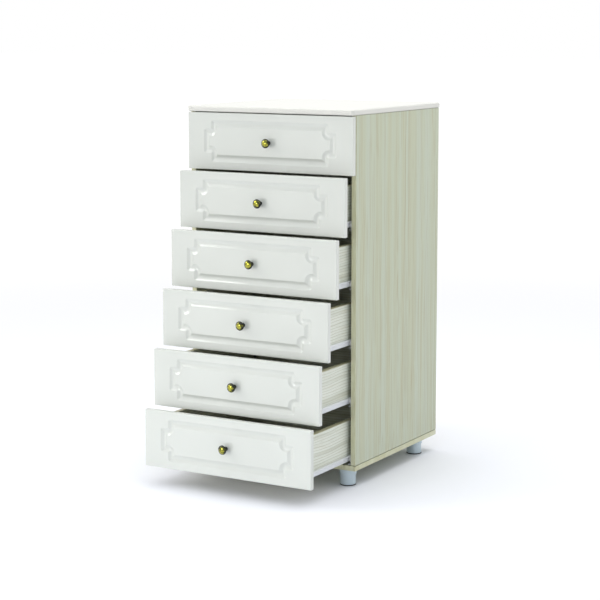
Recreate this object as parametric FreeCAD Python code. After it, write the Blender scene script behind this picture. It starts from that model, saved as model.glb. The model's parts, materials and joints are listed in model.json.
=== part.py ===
import FreeCAD, Part
import math
import os

from FreeCAD import Vector

# Tall chest with six drawers. Millimetres, +Z up, the drawer fronts face -Y.
# The origin is on the floor, at the centre of the rectangle of the four legs.
# The rest pose is a cascade: the top drawer is shut, each lower one is pulled out one step more.

# Overall sizes
WIDTH = 600.0
SIDE_DEPTH = 572.0
SIDE_HEIGHT = 1086.0
LEG_HEIGHT = 53.0
BOARD = 16.0
SLAB = 18.0

# Top slab
SLAB_SIDE_OVERHANG = 2.0
SLAB_FRONT_OVERHANG = 4.0
SLAB_ROUNDING = 6.0

# Legs
LEG_RADIUS = 24.5
COLLAR_RADIUS = 27.0
COLLAR_HEIGHT = 18.0
LEG_BORE_RADIUS = 20.0
LEG_WEB = 9.0
GLIDE_RADIUS = 25.0
GLIDE_HEIGHT = 3.0
GLIDE_SPIGOT_HEIGHT = 6.0
LEG_INSET_SIDE = 43.0
LEG_INSET_FRONT = 33.0
LEG_INSET_REAR = 77.0
LEG_BOLT_RADIUS = 4.0
LEG_BOLT_HEAD_RADIUS = 7.0
LEG_BOLT_HEAD_HEIGHT = 4.0
LEG_BOLT_GRIP = 10.0

# Back panel, let into a rebate and nailed
BACK_THICK = 3.0
REBATE_WIDTH = 8.0
NAIL_RADIUS = 0.8
NAIL_LENGTH = 14.0
NAIL_HEAD_RADIUS = 1.6
NAIL_HEAD = 0.6
NAIL_SPACING = 150.0
NAIL_INSET = 4.0

# Carcass fasteners
CONFIRMAT_RADIUS = 3.0
CONFIRMAT_LENGTH = 50.0
CONFIRMAT_HEAD_RADIUS = 5.0
CONFIRMAT_HEAD = 1.5
TOP_PIN_RADIUS = 4.0
TOP_PIN_IN_SIDE = 20.0
TOP_PIN_IN_SLAB = 10.0
FASTENER_INSET = 50.0
FASTENERS_PER_SIDE = 3

# Drawers
DRAWERS = 6
OPEN_STEP = 51.0
FRONT_THICK = 16.0
FRONT_SIDE_INSET = 1.5
FRONT_GAP = 3.0
FRONT_TO_CARCASS = 2.0
FRONT_BELOW_SIDE_TOP = 2.5
FRONT_ABOVE_UNDERSIDE = 4.0
FRONT_ROUNDING = 3.0
BOX_BELOW_FRONT_TOP = 28.0
FOOT_ROOM = 12.0
BOX_BOARD = 16.0
BASE_THICK = 3.0
BASE_RISE = 10.0
GROOVE_DEPTH = 6.0

# Milled ornament of a front: a sunk band that follows a notched rectangle
ORNAMENT_LOBE_INSET_X = 57.5
ORNAMENT_BODY_INSET_X = 85.0
ORNAMENT_INSET_Z = 23.0
ORNAMENT_LOBE_INSET_Z = 51.0
ORNAMENT_DEPTH = 5.0
BAND_START = 0.4
BAND_FLOOR_START = 11.0
BAND_FLOOR_END = 14.0
BAND_END = 25.0

# Knob and its screw
KNOB_BASE_RADIUS = 7.0
KNOB_FOOT = 2.0
KNOB_NECK_RADIUS = 4.8
KNOB_NECK_AT = 8.0
KNOB_HEAD_RADIUS = 14.5
KNOB_HEAD_AT = 19.0
KNOB_RIM = 2.5
KNOB_LENGTH = 27.5
KNOB_SCREW_RADIUS = 2.0
KNOB_SCREW_GRIP = 10.0
KNOB_SOCKET_OVERRUN = 1.0
KNOB_SCREW_HEAD_RADIUS = 4.5
KNOB_SCREW_HEAD = 2.0

# Roller runners: "out" is measured from the carcass side inwards, "up" from the foot of the drawer side
SLIDE_SPACE = 13.0
STEEL = 1.2
RUNNER_BEHIND_EDGE = 2.0
RUNNER_TO_REAR = 20.0
KEPT_INSIDE = 130.0
CHANNEL_LOW = -8.4
CHANNEL_HIGH = 15.0
CHANNEL_SIDE_GAP = 1.0
FLANGE_UP = 18.2
FLANGE_START = 3.0
SOLE_WIDTH = 12.0
ROLLER_RADIUS = 10.0
ROLLER_GAP = 0.3
ROLLER_SIDE_GAP = 1.2
ROLLER_FROM_FRONT = 15.0
ROLLER_FROM_REAR = 13.0
ROLLER_HUB_RADIUS = 5.5
ROLLER_DISH_RADIUS = 8.4
ROLLER_DISH = 1.0
RIVET_RADIUS = 2.5
RIVET_HEAD_RADIUS = 4.0
RIVET_HEAD = 0.4
RIVET_HEAD_GAP = 0.3
RIVET_END_GAP = 0.3
STOP_REACH = 6.0
STOP_HEIGHT = 9.0
STOP_GAP = 0.5
RAIL_SCREW_RADIUS = 2.0
RAIL_SCREW_LENGTH = 12.0
RAIL_SCREW_HEAD_RADIUS = 4.0
RAIL_SCREW_HEAD = 1.1
RAIL_SCREW_UP = 3.3
RAIL_SCREW_INSET = 60.0
SCREWS_PER_RAIL = 3

# Clearances, and how near an edge must lie to a plane to be picked
EDGE_PICK = 1.0
HOLE_CLEARANCE = 0.05
PANEL_CLEARANCE = 0.2
BORE_CLEARANCE = 0.08

# Levels and planes worked out from the sizes above
HALF_WIDTH = WIDTH / 2
INNER_HALF = HALF_WIDTH - BOARD
LEG_SPACING_Y = SIDE_DEPTH - LEG_INSET_FRONT - LEG_INSET_REAR
CARCASS_FRONT = -LEG_SPACING_Y / 2 - LEG_INSET_FRONT
CARCASS_REAR = CARCASS_FRONT + SIDE_DEPTH
BOTTOM_TOP = LEG_HEIGHT + BOARD
SIDE_TOP = BOTTOM_TOP + SIDE_HEIGHT
SLAB_TOP = SIDE_TOP + SLAB
BACK_FRONT = CARCASS_REAR - BACK_THICK
FRONT_BACK = CARCASS_FRONT - FRONT_TO_CARCASS
FRONT_FACE = FRONT_BACK - FRONT_THICK
FRONT_HALF = HALF_WIDTH - FRONT_SIDE_INSET
FRONTS_TOP = SIDE_TOP - FRONT_BELOW_SIDE_TOP
FRONTS_BOTTOM = LEG_HEIGHT + FRONT_ABOVE_UNDERSIDE
FRONT_HEIGHT = (FRONTS_TOP - FRONTS_BOTTOM - (DRAWERS - 1) * FRONT_GAP) / DRAWERS
BOX_RISE = BOARD - FRONT_ABOVE_UNDERSIDE + FOOT_ROOM
BOX_HEIGHT = FRONT_HEIGHT - BOX_RISE - BOX_BELOW_FRONT_TOP
BOX_OUTER = INNER_HALF - SLIDE_SPACE
BOX_INNER = BOX_OUTER - BOX_BOARD
RUNNER_LENGTH = SIDE_DEPTH - RUNNER_BEHIND_EDGE - RUNNER_TO_REAR
RAIL_FRONT = CARCASS_FRONT + RUNNER_BEHIND_EDGE
RAIL_REAR = RAIL_FRONT + RUNNER_LENGTH
BOX_REAR = FRONT_BACK + RUNNER_LENGTH
TRAVEL = RUNNER_LENGTH - KEPT_INSIDE
MEMBER_OUT = SLIDE_SPACE - STEEL
CHANNEL_REACH = MEMBER_OUT - CHANNEL_SIDE_GAP
ROLLER_START = STEEL + RAIL_SCREW_HEAD + RIVET_END_GAP + RIVET_HEAD + RIVET_HEAD_GAP
ROLLER_WIDTH = MEMBER_OUT - ROLLER_SIDE_GAP - ROLLER_START
FLANGE_UNDER = FLANGE_UP - STEEL
FRONT_ROLLER_Y = RAIL_FRONT + ROLLER_FROM_FRONT
FRONT_ROLLER_UP = FLANGE_UNDER - ROLLER_GAP - ROLLER_RADIUS
REAR_ROLLER_Y = BOX_REAR - ROLLER_FROM_REAR
REAR_ROLLER_UP = CHANNEL_LOW + STEEL + ROLLER_GAP + ROLLER_RADIUS


def box(x0, x1, y0, y1, z0, z1):
    """A box between two corners."""
    return Part.makeBox(x1 - x0, y1 - y0, z1 - z0, Vector(x0, y0, z0))


def rod(radius, start, axis, length):
    """A cylinder from a start point along an axis."""
    return Part.makeCylinder(radius, length, Vector(*start), Vector(*axis))


def mirrored(shape):
    """The shape's mirror image on the other side of the chest."""
    return shape.mirror(Vector(0, 0, 0), Vector(1, 0, 0))


def pair(right):
    """A right-hand piece together with its left-hand twin."""
    return Part.makeCompound([right, mirrored(right)])


def spread(first, last, count):
    """Evenly spaced places from the first to the last."""
    return [first + (last - first) * i / (count - 1) for i in range(count)]


def front_bottom(row):
    """Height of a front's lower edge; row 0 is the top drawer."""
    return FRONTS_TOP - (row + 1) * FRONT_HEIGHT - row * FRONT_GAP


def box_bottom(row):
    """Height of the foot of a drawer's sides."""
    return front_bottom(row) + BOX_RISE


def pulled_out(shape, row):
    """The shape of a shut drawer, moved to where that drawer rests."""
    return shape.translated(Vector(0, -OPEN_STEP * row, 0))


def slide_box(row, out0, out1, y0, y1, up0, up1):
    """A box in the right-hand slide space of a row."""
    foot = box_bottom(row)
    return box(INNER_HALF - out1, INNER_HALF - out0, y0, y1, foot + up0, foot + up1)


def slide_rod(row, radius, out0, out1, y, up):
    """A rod along X in the right-hand slide space of a row."""
    return rod(radius, (INNER_HALF - out1, y, box_bottom(row) + up), (1, 0, 0), out1 - out0)


# Places of the fasteners

def leg_places():
    """Centres of the four legs."""
    x = HALF_WIDTH - LEG_INSET_SIDE
    y = LEG_SPACING_Y / 2
    return [(-x, -y), (x, -y), (-x, y), (x, y)]


def fastener_places():
    """Points over the middle of the side panels where bottom and top are fixed."""
    x = HALF_WIDTH - BOARD / 2
    rows = spread(CARCASS_FRONT + FASTENER_INSET, CARCASS_REAR - FASTENER_INSET, FASTENERS_PER_SIDE)
    return [(side * x, y) for side in (-1, 1) for y in rows]


def nail_places():
    """Points around the edge of the back panel."""
    x = INNER_HALF + NAIL_INSET
    low = BOTTOM_TOP - NAIL_INSET
    high = SIDE_TOP + NAIL_INSET
    up = int((high - low) / NAIL_SPACING)
    across = int(2 * x / NAIL_SPACING)
    points = [(side * x, z) for side in (-1, 1) for z in spread(low, high, up + 1)[1:-1]]
    points += [(x_at, z) for z in (low, high) for x_at in spread(-x, x, across + 1)[1:-1]]
    return points


def rail_screw_places():
    """Distances along a cabinet rail where it is screwed to the side."""
    first = RAIL_FRONT + RAIL_SCREW_INSET
    return spread(first, RAIL_REAR - RAIL_SCREW_INSET, SCREWS_PER_RAIL)


# Fasteners, each also used a little larger to make its hole

def confirmat(place, extra=0.0):
    """A screw through the bottom panel into the lower edge of a side."""
    x, y = place
    head = rod(CONFIRMAT_HEAD_RADIUS + extra, (x, y, LEG_HEIGHT), (0, 0, 1), CONFIRMAT_HEAD)
    shank = rod(CONFIRMAT_RADIUS + extra, (x, y, LEG_HEIGHT), (0, 0, 1), CONFIRMAT_LENGTH + extra)
    return head.fuse(shank)


def top_pin(place, extra=0.0):
    """A pin from the upper edge of a side into the underside of the slab."""
    length = TOP_PIN_IN_SIDE + TOP_PIN_IN_SLAB + 2 * extra
    start = (place[0], place[1], SIDE_TOP - TOP_PIN_IN_SIDE - extra)
    return rod(TOP_PIN_RADIUS + extra, start, (0, 0, 1), length)


def leg_bolt(place, extra=0.0):
    """A bolt from inside a leg up into the bottom panel."""
    x, y = place
    seat = LEG_HEIGHT - LEG_WEB
    start = (x, y, seat - LEG_BOLT_HEAD_HEIGHT)
    head = rod(LEG_BOLT_HEAD_RADIUS, start, (0, 0, 1), LEG_BOLT_HEAD_HEIGHT)
    shank = rod(LEG_BOLT_RADIUS + extra, (x, y, seat), (0, 0, 1), LEG_WEB + LEG_BOLT_GRIP + extra)
    return head.fuse(shank)


def nail(place, extra=0.0):
    """A nail through the back panel, its head flush with the rear."""
    start = (place[0], CARCASS_REAR, place[1])
    head = rod(NAIL_HEAD_RADIUS + extra, start, (0, -1, 0), NAIL_HEAD)
    shank = rod(NAIL_RADIUS + extra, start, (0, -1, 0), NAIL_LENGTH + extra)
    return head.fuse(shank)


def rail_screw(row, y, extra=0.0):
    """A screw from a cabinet rail into the right side panel."""
    top = STEEL + RAIL_SCREW_HEAD
    head = slide_rod(row, RAIL_SCREW_HEAD_RADIUS, STEEL, top, y, RAIL_SCREW_UP)
    shank_end = -RAIL_SCREW_LENGTH - extra
    shank = slide_rod(row, RAIL_SCREW_RADIUS + extra, shank_end, top, y, RAIL_SCREW_UP)
    return head.fuse(shank)


def right_rail_screws(extra=0.0):
    """Every screw that holds a cabinet rail to the right side."""
    return [rail_screw(row, y, extra) for row in range(DRAWERS) for y in rail_screw_places()]


# Carcass

def right_side():
    """Right side panel with its rebate and pilot holes."""
    panel = box(INNER_HALF, HALF_WIDTH, CARCASS_FRONT, CARCASS_REAR, BOTTOM_TOP, SIDE_TOP)
    rebate = box(INNER_HALF, INNER_HALF + REBATE_WIDTH, BACK_FRONT, CARCASS_REAR, BOTTOM_TOP, SIDE_TOP)
    holes = right_rail_screws(HOLE_CLEARANCE)
    holes += [confirmat(place, HOLE_CLEARANCE) for place in fastener_places() if place[0] > 0]
    holes += [top_pin(place, HOLE_CLEARANCE) for place in fastener_places() if place[0] > 0]
    holes += [nail(place, HOLE_CLEARANCE) for place in nail_places() if place[0] > INNER_HALF]
    return panel.cut([rebate] + holes)


def bottom_panel():
    """Bottom panel that lies under both sides."""
    panel = box(-HALF_WIDTH, HALF_WIDTH, CARCASS_FRONT, CARCASS_REAR, LEG_HEIGHT, BOTTOM_TOP)
    reach = INNER_HALF + REBATE_WIDTH
    rebate = box(-reach, reach, BACK_FRONT, CARCASS_REAR, BOTTOM_TOP - REBATE_WIDTH, BOTTOM_TOP)
    holes = [confirmat(place, HOLE_CLEARANCE) for place in fastener_places()]
    holes += [leg_bolt(place, HOLE_CLEARANCE) for place in leg_places()]
    holes += [nail(place, HOLE_CLEARANCE) for place in nail_places() if place[1] < BOTTOM_TOP]
    return panel.cut([rebate] + holes)


def slab_edge_is_rounded(edge):
    """True for the long edges at the front and on both sides of the slab."""
    bounds = edge.BoundBox
    level = bounds.ZLength < EDGE_PICK
    at_rear = bounds.YMin > CARCASS_REAR - EDGE_PICK
    return level and not at_rear


def top_panel():
    """Top slab with rounded front and side edges."""
    half = HALF_WIDTH + SLAB_SIDE_OVERHANG
    slab = box(-half, half, FRONT_FACE - SLAB_FRONT_OVERHANG, CARCASS_REAR, SIDE_TOP, SLAB_TOP)
    slab = slab.makeFillet(SLAB_ROUNDING, [edge for edge in slab.Edges if slab_edge_is_rounded(edge)])
    reach = INNER_HALF + REBATE_WIDTH
    rebate = box(-reach, reach, BACK_FRONT, CARCASS_REAR, SIDE_TOP, SIDE_TOP + REBATE_WIDTH)
    holes = [top_pin(place, HOLE_CLEARANCE) for place in fastener_places()]
    holes += [nail(place, HOLE_CLEARANCE) for place in nail_places() if place[1] > SIDE_TOP]
    return slab.cut([rebate] + holes)


def back_panel():
    """Thin back panel in the rebates of the four panels around it."""
    half = INNER_HALF + REBATE_WIDTH - PANEL_CLEARANCE
    low = BOTTOM_TOP - REBATE_WIDTH + PANEL_CLEARANCE
    high = SIDE_TOP + REBATE_WIDTH - PANEL_CLEARANCE
    panel = box(-half, half, BACK_FRONT, CARCASS_REAR, low, high)
    return panel.cut([nail(place, HOLE_CLEARANCE) for place in nail_places()])


def leg(place):
    """One leg: a wide collar over a hollow barrel."""
    x, y = place
    collar_foot = LEG_HEIGHT - COLLAR_HEIGHT
    barrel = rod(LEG_RADIUS, (x, y, GLIDE_HEIGHT), (0, 0, 1), LEG_HEIGHT - GLIDE_HEIGHT)
    collar = rod(COLLAR_RADIUS, (x, y, collar_foot), (0, 0, 1), COLLAR_HEIGHT)
    bore = rod(LEG_BORE_RADIUS, (x, y, 0), (0, 0, 1), LEG_HEIGHT - LEG_WEB)
    return barrel.fuse(collar).cut([bore, leg_bolt(place, HOLE_CLEARANCE)])


def glide(place):
    """The dark disc under a leg, plugged into its bore."""
    x, y = place
    disc = rod(GLIDE_RADIUS, (x, y, 0), (0, 0, 1), GLIDE_HEIGHT)
    spigot_height = GLIDE_HEIGHT + GLIDE_SPIGOT_HEIGHT
    spigot = rod(LEG_BORE_RADIUS - PANEL_CLEARANCE, (x, y, 0), (0, 0, 1), spigot_height)
    return disc.fuse(spigot)


# Cabinet half of a runner

def rail_stop(row, y):
    """A lug bent out of the rail that the drawer's roller comes up against."""
    low = CHANNEL_LOW + STEEL
    return slide_box(row, STEEL, STOP_REACH, y, y + STEEL, low, low + STOP_HEIGHT)


def front_rivet(row):
    """The axle of the cabinet roller, with its head at the free end."""
    head_start = ROLLER_START + ROLLER_WIDTH + RIVET_HEAD_GAP
    shank = slide_rod(row, RIVET_RADIUS, 0, head_start, FRONT_ROLLER_Y, FRONT_ROLLER_UP)
    head_end = head_start + RIVET_HEAD
    head = slide_rod(row, RIVET_HEAD_RADIUS, head_start, head_end, FRONT_ROLLER_Y, FRONT_ROLLER_UP)
    return shank.fuse(head)


def right_rail(row):
    """Channel on the right side panel, with its two stops and the axle of its roller."""
    web = slide_box(row, 0, STEEL, RAIL_FRONT, RAIL_REAR, CHANNEL_LOW, CHANNEL_HIGH)
    sole = slide_box(row, 0, CHANNEL_REACH, RAIL_FRONT, RAIL_REAR, CHANNEL_LOW, CHANNEL_LOW + STEEL)
    roof_front = FRONT_ROLLER_Y + 2 * ROLLER_RADIUS
    roof = slide_box(row, 0, CHANNEL_REACH, roof_front, RAIL_REAR, CHANNEL_HIGH - STEEL, CHANNEL_HIGH)
    reach = ROLLER_RADIUS + STOP_GAP
    shut_stop = rail_stop(row, REAR_ROLLER_Y + reach)
    open_stop = rail_stop(row, REAR_ROLLER_Y - TRAVEL - reach - STEEL)
    rail = web.fuse([sole, roof, shut_stop, open_stop, front_rivet(row)])
    holes = [rail_screw(row, y, HOLE_CLEARANCE) for y in rail_screw_places()]
    return rail.removeSplitter().cut(holes)


def right_roller(row, y, up, start):
    """A dished plastic wheel with a bore for its rivet."""
    end = start + ROLLER_WIDTH
    wheel = slide_rod(row, ROLLER_RADIUS, start, end, y, up)
    bore = slide_rod(row, RIVET_RADIUS + BORE_CLEARANCE, start, end, y, up)
    dish_a = slide_rod(row, ROLLER_DISH_RADIUS, start, start + ROLLER_DISH, y, up)
    hub_a = slide_rod(row, ROLLER_HUB_RADIUS, start, start + ROLLER_DISH, y, up)
    dish_b = slide_rod(row, ROLLER_DISH_RADIUS, end - ROLLER_DISH, end, y, up)
    hub_b = slide_rod(row, ROLLER_HUB_RADIUS, end - ROLLER_DISH, end, y, up)
    return wheel.cut([dish_a.cut(hub_a), dish_b.cut(hub_b), bore])


def cabinet_rollers(row):
    """The pair of wheels at the front of the cabinet rails of a row."""
    return pair(right_roller(row, FRONT_ROLLER_Y, FRONT_ROLLER_UP, ROLLER_START))


# Drawer, built shut

def ornament_wire(inset, y, row):
    """The ornament's outline moved inwards: straight mitres, and an arc about each inner corner."""
    z_mid = front_bottom(row) + FRONT_HEIGHT / 2
    step_x = FRONT_HALF - ORNAMENT_BODY_INSET_X
    step_z = FRONT_HEIGHT / 2 - ORNAMENT_LOBE_INSET_Z
    lobe_x = FRONT_HALF - ORNAMENT_LOBE_INSET_X - inset
    body_z = FRONT_HEIGHT / 2 - ORNAMENT_INSET_Z - inset
    bend = inset * 0.5 ** 0.5
    edges = []
    for side_x, side_z in ((1, 1), (-1, 1), (-1, -1), (1, -1)):
        outline = [
            (lobe_x, 0),
            (lobe_x, step_z - inset),
            (step_x, step_z - inset),
            (step_x - bend, step_z - bend),
            (step_x - inset, step_z),
            (step_x - inset, body_z),
            (0, body_z),
        ]
        points = [Vector(side_x * x, y, z_mid + side_z * z) for x, z in outline]
        lines = [(0, 1), (1, 2), (4, 5), (5, 6)]
        edges += [Part.makeLine(points[a], points[b]) for a, b in lines]
        edges.append(Part.Arc(points[2], points[3], points[4]).toShape())
    return Part.Wire(Part.__sortEdges__(edges))


def ornament(row):
    """The material that the mill takes out of a front."""
    floor = FRONT_FACE + ORNAMENT_DEPTH
    outer = [ornament_wire(BAND_START, FRONT_FACE, row), ornament_wire(BAND_FLOOR_START, floor, row)]
    inner = [ornament_wire(BAND_END, FRONT_FACE, row), ornament_wire(BAND_FLOOR_END, floor, row)]
    return Part.makeLoft(outer, True, True).cut(Part.makeLoft(inner, True, True))


def drawer_front(row):
    """Front with softened edges, milled ornament, base groove and screw hole."""
    low = front_bottom(row)
    front = box(-FRONT_HALF, FRONT_HALF, FRONT_FACE, FRONT_BACK, low, low + FRONT_HEIGHT)
    rim = [edge for edge in front.Edges if edge.BoundBox.YMax < FRONT_FACE + EDGE_PICK]
    front = front.makeFillet(FRONT_ROUNDING, rim)
    groove_low = box_bottom(row) + BASE_RISE
    groove_half = BOX_INNER + GROOVE_DEPTH
    groove_front = FRONT_BACK - GROOVE_DEPTH
    groove_high = groove_low + BASE_THICK + PANEL_CLEARANCE
    groove = box(-groove_half, groove_half, groove_front, FRONT_BACK, groove_low, groove_high)
    middle = (0, FRONT_FACE, low + FRONT_HEIGHT / 2)
    hole = rod(KNOB_SCREW_RADIUS + HOLE_CLEARANCE, middle, (0, 1, 0), FRONT_THICK)
    return front.cut([ornament(row), groove, hole])


def right_drawer_side(row):
    """Right drawer side with the groove for the base."""
    foot = box_bottom(row)
    side = box(BOX_INNER, BOX_OUTER, FRONT_BACK, BOX_REAR, foot, foot + BOX_HEIGHT)
    low = foot + BASE_RISE
    high = low + BASE_THICK + PANEL_CLEARANCE
    return side.cut(box(BOX_INNER, BOX_INNER + GROOVE_DEPTH, FRONT_BACK, BOX_REAR, low, high))


def drawer_back(row):
    """Drawer back, standing on the base between the sides."""
    foot = box_bottom(row)
    low = foot + BASE_RISE + BASE_THICK + PANEL_CLEARANCE
    return box(-BOX_INNER, BOX_INNER, BOX_REAR - BOX_BOARD, BOX_REAR, low, foot + BOX_HEIGHT)


def drawer_base(row):
    """Thin base that slides into the grooves."""
    half = BOX_INNER + GROOVE_DEPTH - PANEL_CLEARANCE
    low = box_bottom(row) + BASE_RISE + PANEL_CLEARANCE / 2
    front = FRONT_BACK - GROOVE_DEPTH + PANEL_CLEARANCE
    return box(-half, half, front, BOX_REAR, low, low + BASE_THICK)


def rear_rivet(row):
    """The axle of the drawer's roller, with its head at the free end."""
    head_start = ROLLER_START - RIVET_HEAD_GAP - RIVET_HEAD
    shank = slide_rod(row, RIVET_RADIUS, head_start, MEMBER_OUT + STEEL, REAR_ROLLER_Y, REAR_ROLLER_UP)
    head_end = head_start + RIVET_HEAD
    head = slide_rod(row, RIVET_HEAD_RADIUS, head_start, head_end, REAR_ROLLER_Y, REAR_ROLLER_UP)
    return shank.fuse(head)


def right_runner(row):
    """Drawer half of the runner: a sole under the side, a web and a running flange."""
    web = slide_box(row, MEMBER_OUT, SLIDE_SPACE, FRONT_BACK, BOX_REAR, -STEEL, FLANGE_UP)
    sole_end = SLIDE_SPACE + SOLE_WIDTH
    sole = slide_box(row, MEMBER_OUT, sole_end, FRONT_BACK, BOX_REAR, -STEEL, 0)
    flange = slide_box(row, FLANGE_START, SLIDE_SPACE, FRONT_BACK, BOX_REAR, FLANGE_UNDER, FLANGE_UP)
    return web.fuse([sole, flange, rear_rivet(row)]).removeSplitter()


def drawer_rollers(row):
    """The pair of wheels at the rear of a drawer."""
    return pair(right_roller(row, REAR_ROLLER_Y, REAR_ROLLER_UP, ROLLER_START))


def knob_profile():
    """Half outline of the knob: radius against distance in front of the face."""
    edge_at = KNOB_HEAD_AT + KNOB_RIM
    bulge = KNOB_LENGTH - edge_at
    dome_radius = (KNOB_HEAD_RADIUS ** 2 + bulge ** 2) / (2 * bulge)
    half_way = math.asin(KNOB_HEAD_RADIUS / dome_radius) / 2
    dome_at = KNOB_LENGTH - dome_radius * (1 - math.cos(half_way))
    centre = Vector(0, 0, 0)
    foot = Vector(KNOB_BASE_RADIUS, 0, 0)
    foot_side = Vector(KNOB_BASE_RADIUS, -KNOB_FOOT, 0)
    neck = Vector(KNOB_NECK_RADIUS, -KNOB_NECK_AT, 0)
    shoulder = Vector(KNOB_HEAD_RADIUS, -KNOB_HEAD_AT, 0)
    rim = Vector(KNOB_HEAD_RADIUS, -edge_at, 0)
    dome = Vector(dome_radius * math.sin(half_way), -dome_at, 0)
    crown = Vector(0, -KNOB_LENGTH, 0)
    edges = [
        Part.makeLine(centre, foot),
        Part.makeLine(foot, foot_side),
        Part.Arc(foot_side, neck, shoulder).toShape(),
        Part.makeLine(shoulder, rim),
        Part.Arc(rim, dome, crown).toShape(),
        Part.makeLine(crown, centre),
    ]
    return Part.Face(Part.Wire(edges))


def drawer_knob(row):
    """Knob in front of the front's face, and the screw that holds it from inside."""
    place = Vector(0, FRONT_FACE, front_bottom(row) + FRONT_HEIGHT / 2)
    turned = knob_profile().revolve(Vector(0, 0, 0), Vector(0, 1, 0), 360).translated(place)
    grip_start = (0, FRONT_FACE - KNOB_SCREW_GRIP, place.z)
    socket_start = (0, FRONT_FACE - KNOB_SCREW_GRIP - HOLE_CLEARANCE, place.z)
    socket_depth = KNOB_SCREW_GRIP + KNOB_SOCKET_OVERRUN
    socket = rod(KNOB_SCREW_RADIUS + HOLE_CLEARANCE, socket_start, (0, 1, 0), socket_depth)
    shank = rod(KNOB_SCREW_RADIUS, grip_start, (0, 1, 0), KNOB_SCREW_GRIP + FRONT_THICK)
    head = rod(KNOB_SCREW_HEAD_RADIUS, (0, FRONT_BACK, place.z), (0, 1, 0), KNOB_SCREW_HEAD)
    return Part.makeCompound([turned.cut(socket), shank.fuse(head)])


def carcass_nodes():
    """Every piece that stays still, and the cabinet rollers."""
    side = right_side()
    rails = [right_rail(row) for row in range(DRAWERS)]
    screws = right_rail_screws()
    fasteners = [confirmat(place) for place in fastener_places()]
    fasteners += [top_pin(place) for place in fastener_places()]
    fasteners += [leg_bolt(place) for place in leg_places()]
    nodes = {
        "side_panel_right": side,
        "side_panel_left": mirrored(side),
        "top_panel": top_panel(),
        "bottom_panel": bottom_panel(),
        "back_panel": back_panel(),
        "legs": Part.makeCompound([leg(place) for place in leg_places()]),
        "leg_glides": Part.makeCompound([glide(place) for place in leg_places()]),
        "cabinet_rails_right": Part.makeCompound(rails),
        "cabinet_rails_left": Part.makeCompound([mirrored(rail) for rail in rails]),
        "carcass_fasteners": Part.makeCompound(fasteners),
        "rail_screws": Part.makeCompound(screws + [mirrored(screw) for screw in screws]),
        "back_panel_nails": Part.makeCompound([nail(place) for place in nail_places()]),
    }
    for row in range(DRAWERS):
        nodes[f"cabinet_rollers_{row + 1}"] = cabinet_rollers(row)
    return nodes


def drawer_nodes(row):
    """Every piece of one drawer, where the drawer rests."""
    shut = {
        "front": drawer_front(row),
        "sides": pair(right_drawer_side(row)),
        "back": drawer_back(row),
        "base": drawer_base(row),
        "runners": pair(right_runner(row)),
        "rollers": drawer_rollers(row),
        "knob": drawer_knob(row),
    }
    return {f"drawer_{row + 1}_{name}": pulled_out(shape, row) for name, shape in shut.items()}


def main():
    """Build every node and write it to its own file."""
    os.makedirs("parts", exist_ok=True)
    nodes = carcass_nodes()
    for row in range(DRAWERS):
        nodes.update(drawer_nodes(row))
    for name, shape in nodes.items():
        shape.exportStep(os.path.join("parts", name + ".step"))


main()
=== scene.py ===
import json
import logging
import math
from dataclasses import dataclass, field
from enum import Enum
from typing import Any, Iterable, Sequence

import bmesh
import bpy
from mathutils import Matrix, Vector
from mathutils.geometry import delaunay_2d_cdt

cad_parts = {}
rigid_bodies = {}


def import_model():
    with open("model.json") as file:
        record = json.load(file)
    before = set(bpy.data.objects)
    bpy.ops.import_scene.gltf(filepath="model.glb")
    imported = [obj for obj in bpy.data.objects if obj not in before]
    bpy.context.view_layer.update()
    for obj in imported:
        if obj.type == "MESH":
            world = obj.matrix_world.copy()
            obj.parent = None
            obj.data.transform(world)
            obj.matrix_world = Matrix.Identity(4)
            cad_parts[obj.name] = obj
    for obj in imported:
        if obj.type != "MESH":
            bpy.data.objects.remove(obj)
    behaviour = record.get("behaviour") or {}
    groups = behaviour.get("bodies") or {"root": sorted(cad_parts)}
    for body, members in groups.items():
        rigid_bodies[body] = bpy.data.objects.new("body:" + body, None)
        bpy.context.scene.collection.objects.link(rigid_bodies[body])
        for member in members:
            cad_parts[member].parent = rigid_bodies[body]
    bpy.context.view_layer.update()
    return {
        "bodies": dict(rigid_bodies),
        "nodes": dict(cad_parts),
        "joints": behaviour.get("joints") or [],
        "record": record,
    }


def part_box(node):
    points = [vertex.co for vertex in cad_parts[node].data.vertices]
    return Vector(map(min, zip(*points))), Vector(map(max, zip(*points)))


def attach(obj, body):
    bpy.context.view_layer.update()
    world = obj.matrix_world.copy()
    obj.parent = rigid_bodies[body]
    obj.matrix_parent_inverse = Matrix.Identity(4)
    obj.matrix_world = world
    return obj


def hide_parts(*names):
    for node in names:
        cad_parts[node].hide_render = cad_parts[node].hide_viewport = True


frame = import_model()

# A tall chest with six drawers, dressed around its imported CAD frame. Metres, +Z up, fronts face -Y.

MM = 0.001
TINY = 0.01 * MM
# Degrees. Faces that meet at more than this keep a hard edge between them.
BOARD_CREASE = 40.0
TURNED_CREASE = 50.0
LEG_CREASE = 30.0
DRAWERS = 6
CARCASS = "carcass"
log = logging.getLogger("chest")

Outline = list[tuple[float, float]]
Stops = Sequence[tuple[float, str]]

# A Mix node's colour inputs go by number, because its inputs of every type have the same names.
SHARE, UNDER, OVER = 0, 6, 7


class Grain(Enum):
    """The axis that the printed grain of a board runs along."""

    ACROSS = 0
    ALONG = 1
    UPRIGHT = 2


def linear(code: str) -> tuple[float, float, float, float]:
    """Turns an sRGB hex colour into the linear colour that a shader takes.

    Args:
        code: six hex digits, with or without a leading #.

    Returns:
        Red, green, blue and an alpha of one.
    """
    digits = code.lstrip("#")
    parts = [int(digits[i:i + 2], 16) / 255.0 for i in (0, 2, 4)]
    curve = [c / 12.92 if c <= 0.04045 else ((c + 0.055) / 1.055) ** 2.4 for c in parts]
    return (curve[0], curve[1], curve[2], 1.0)


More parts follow.
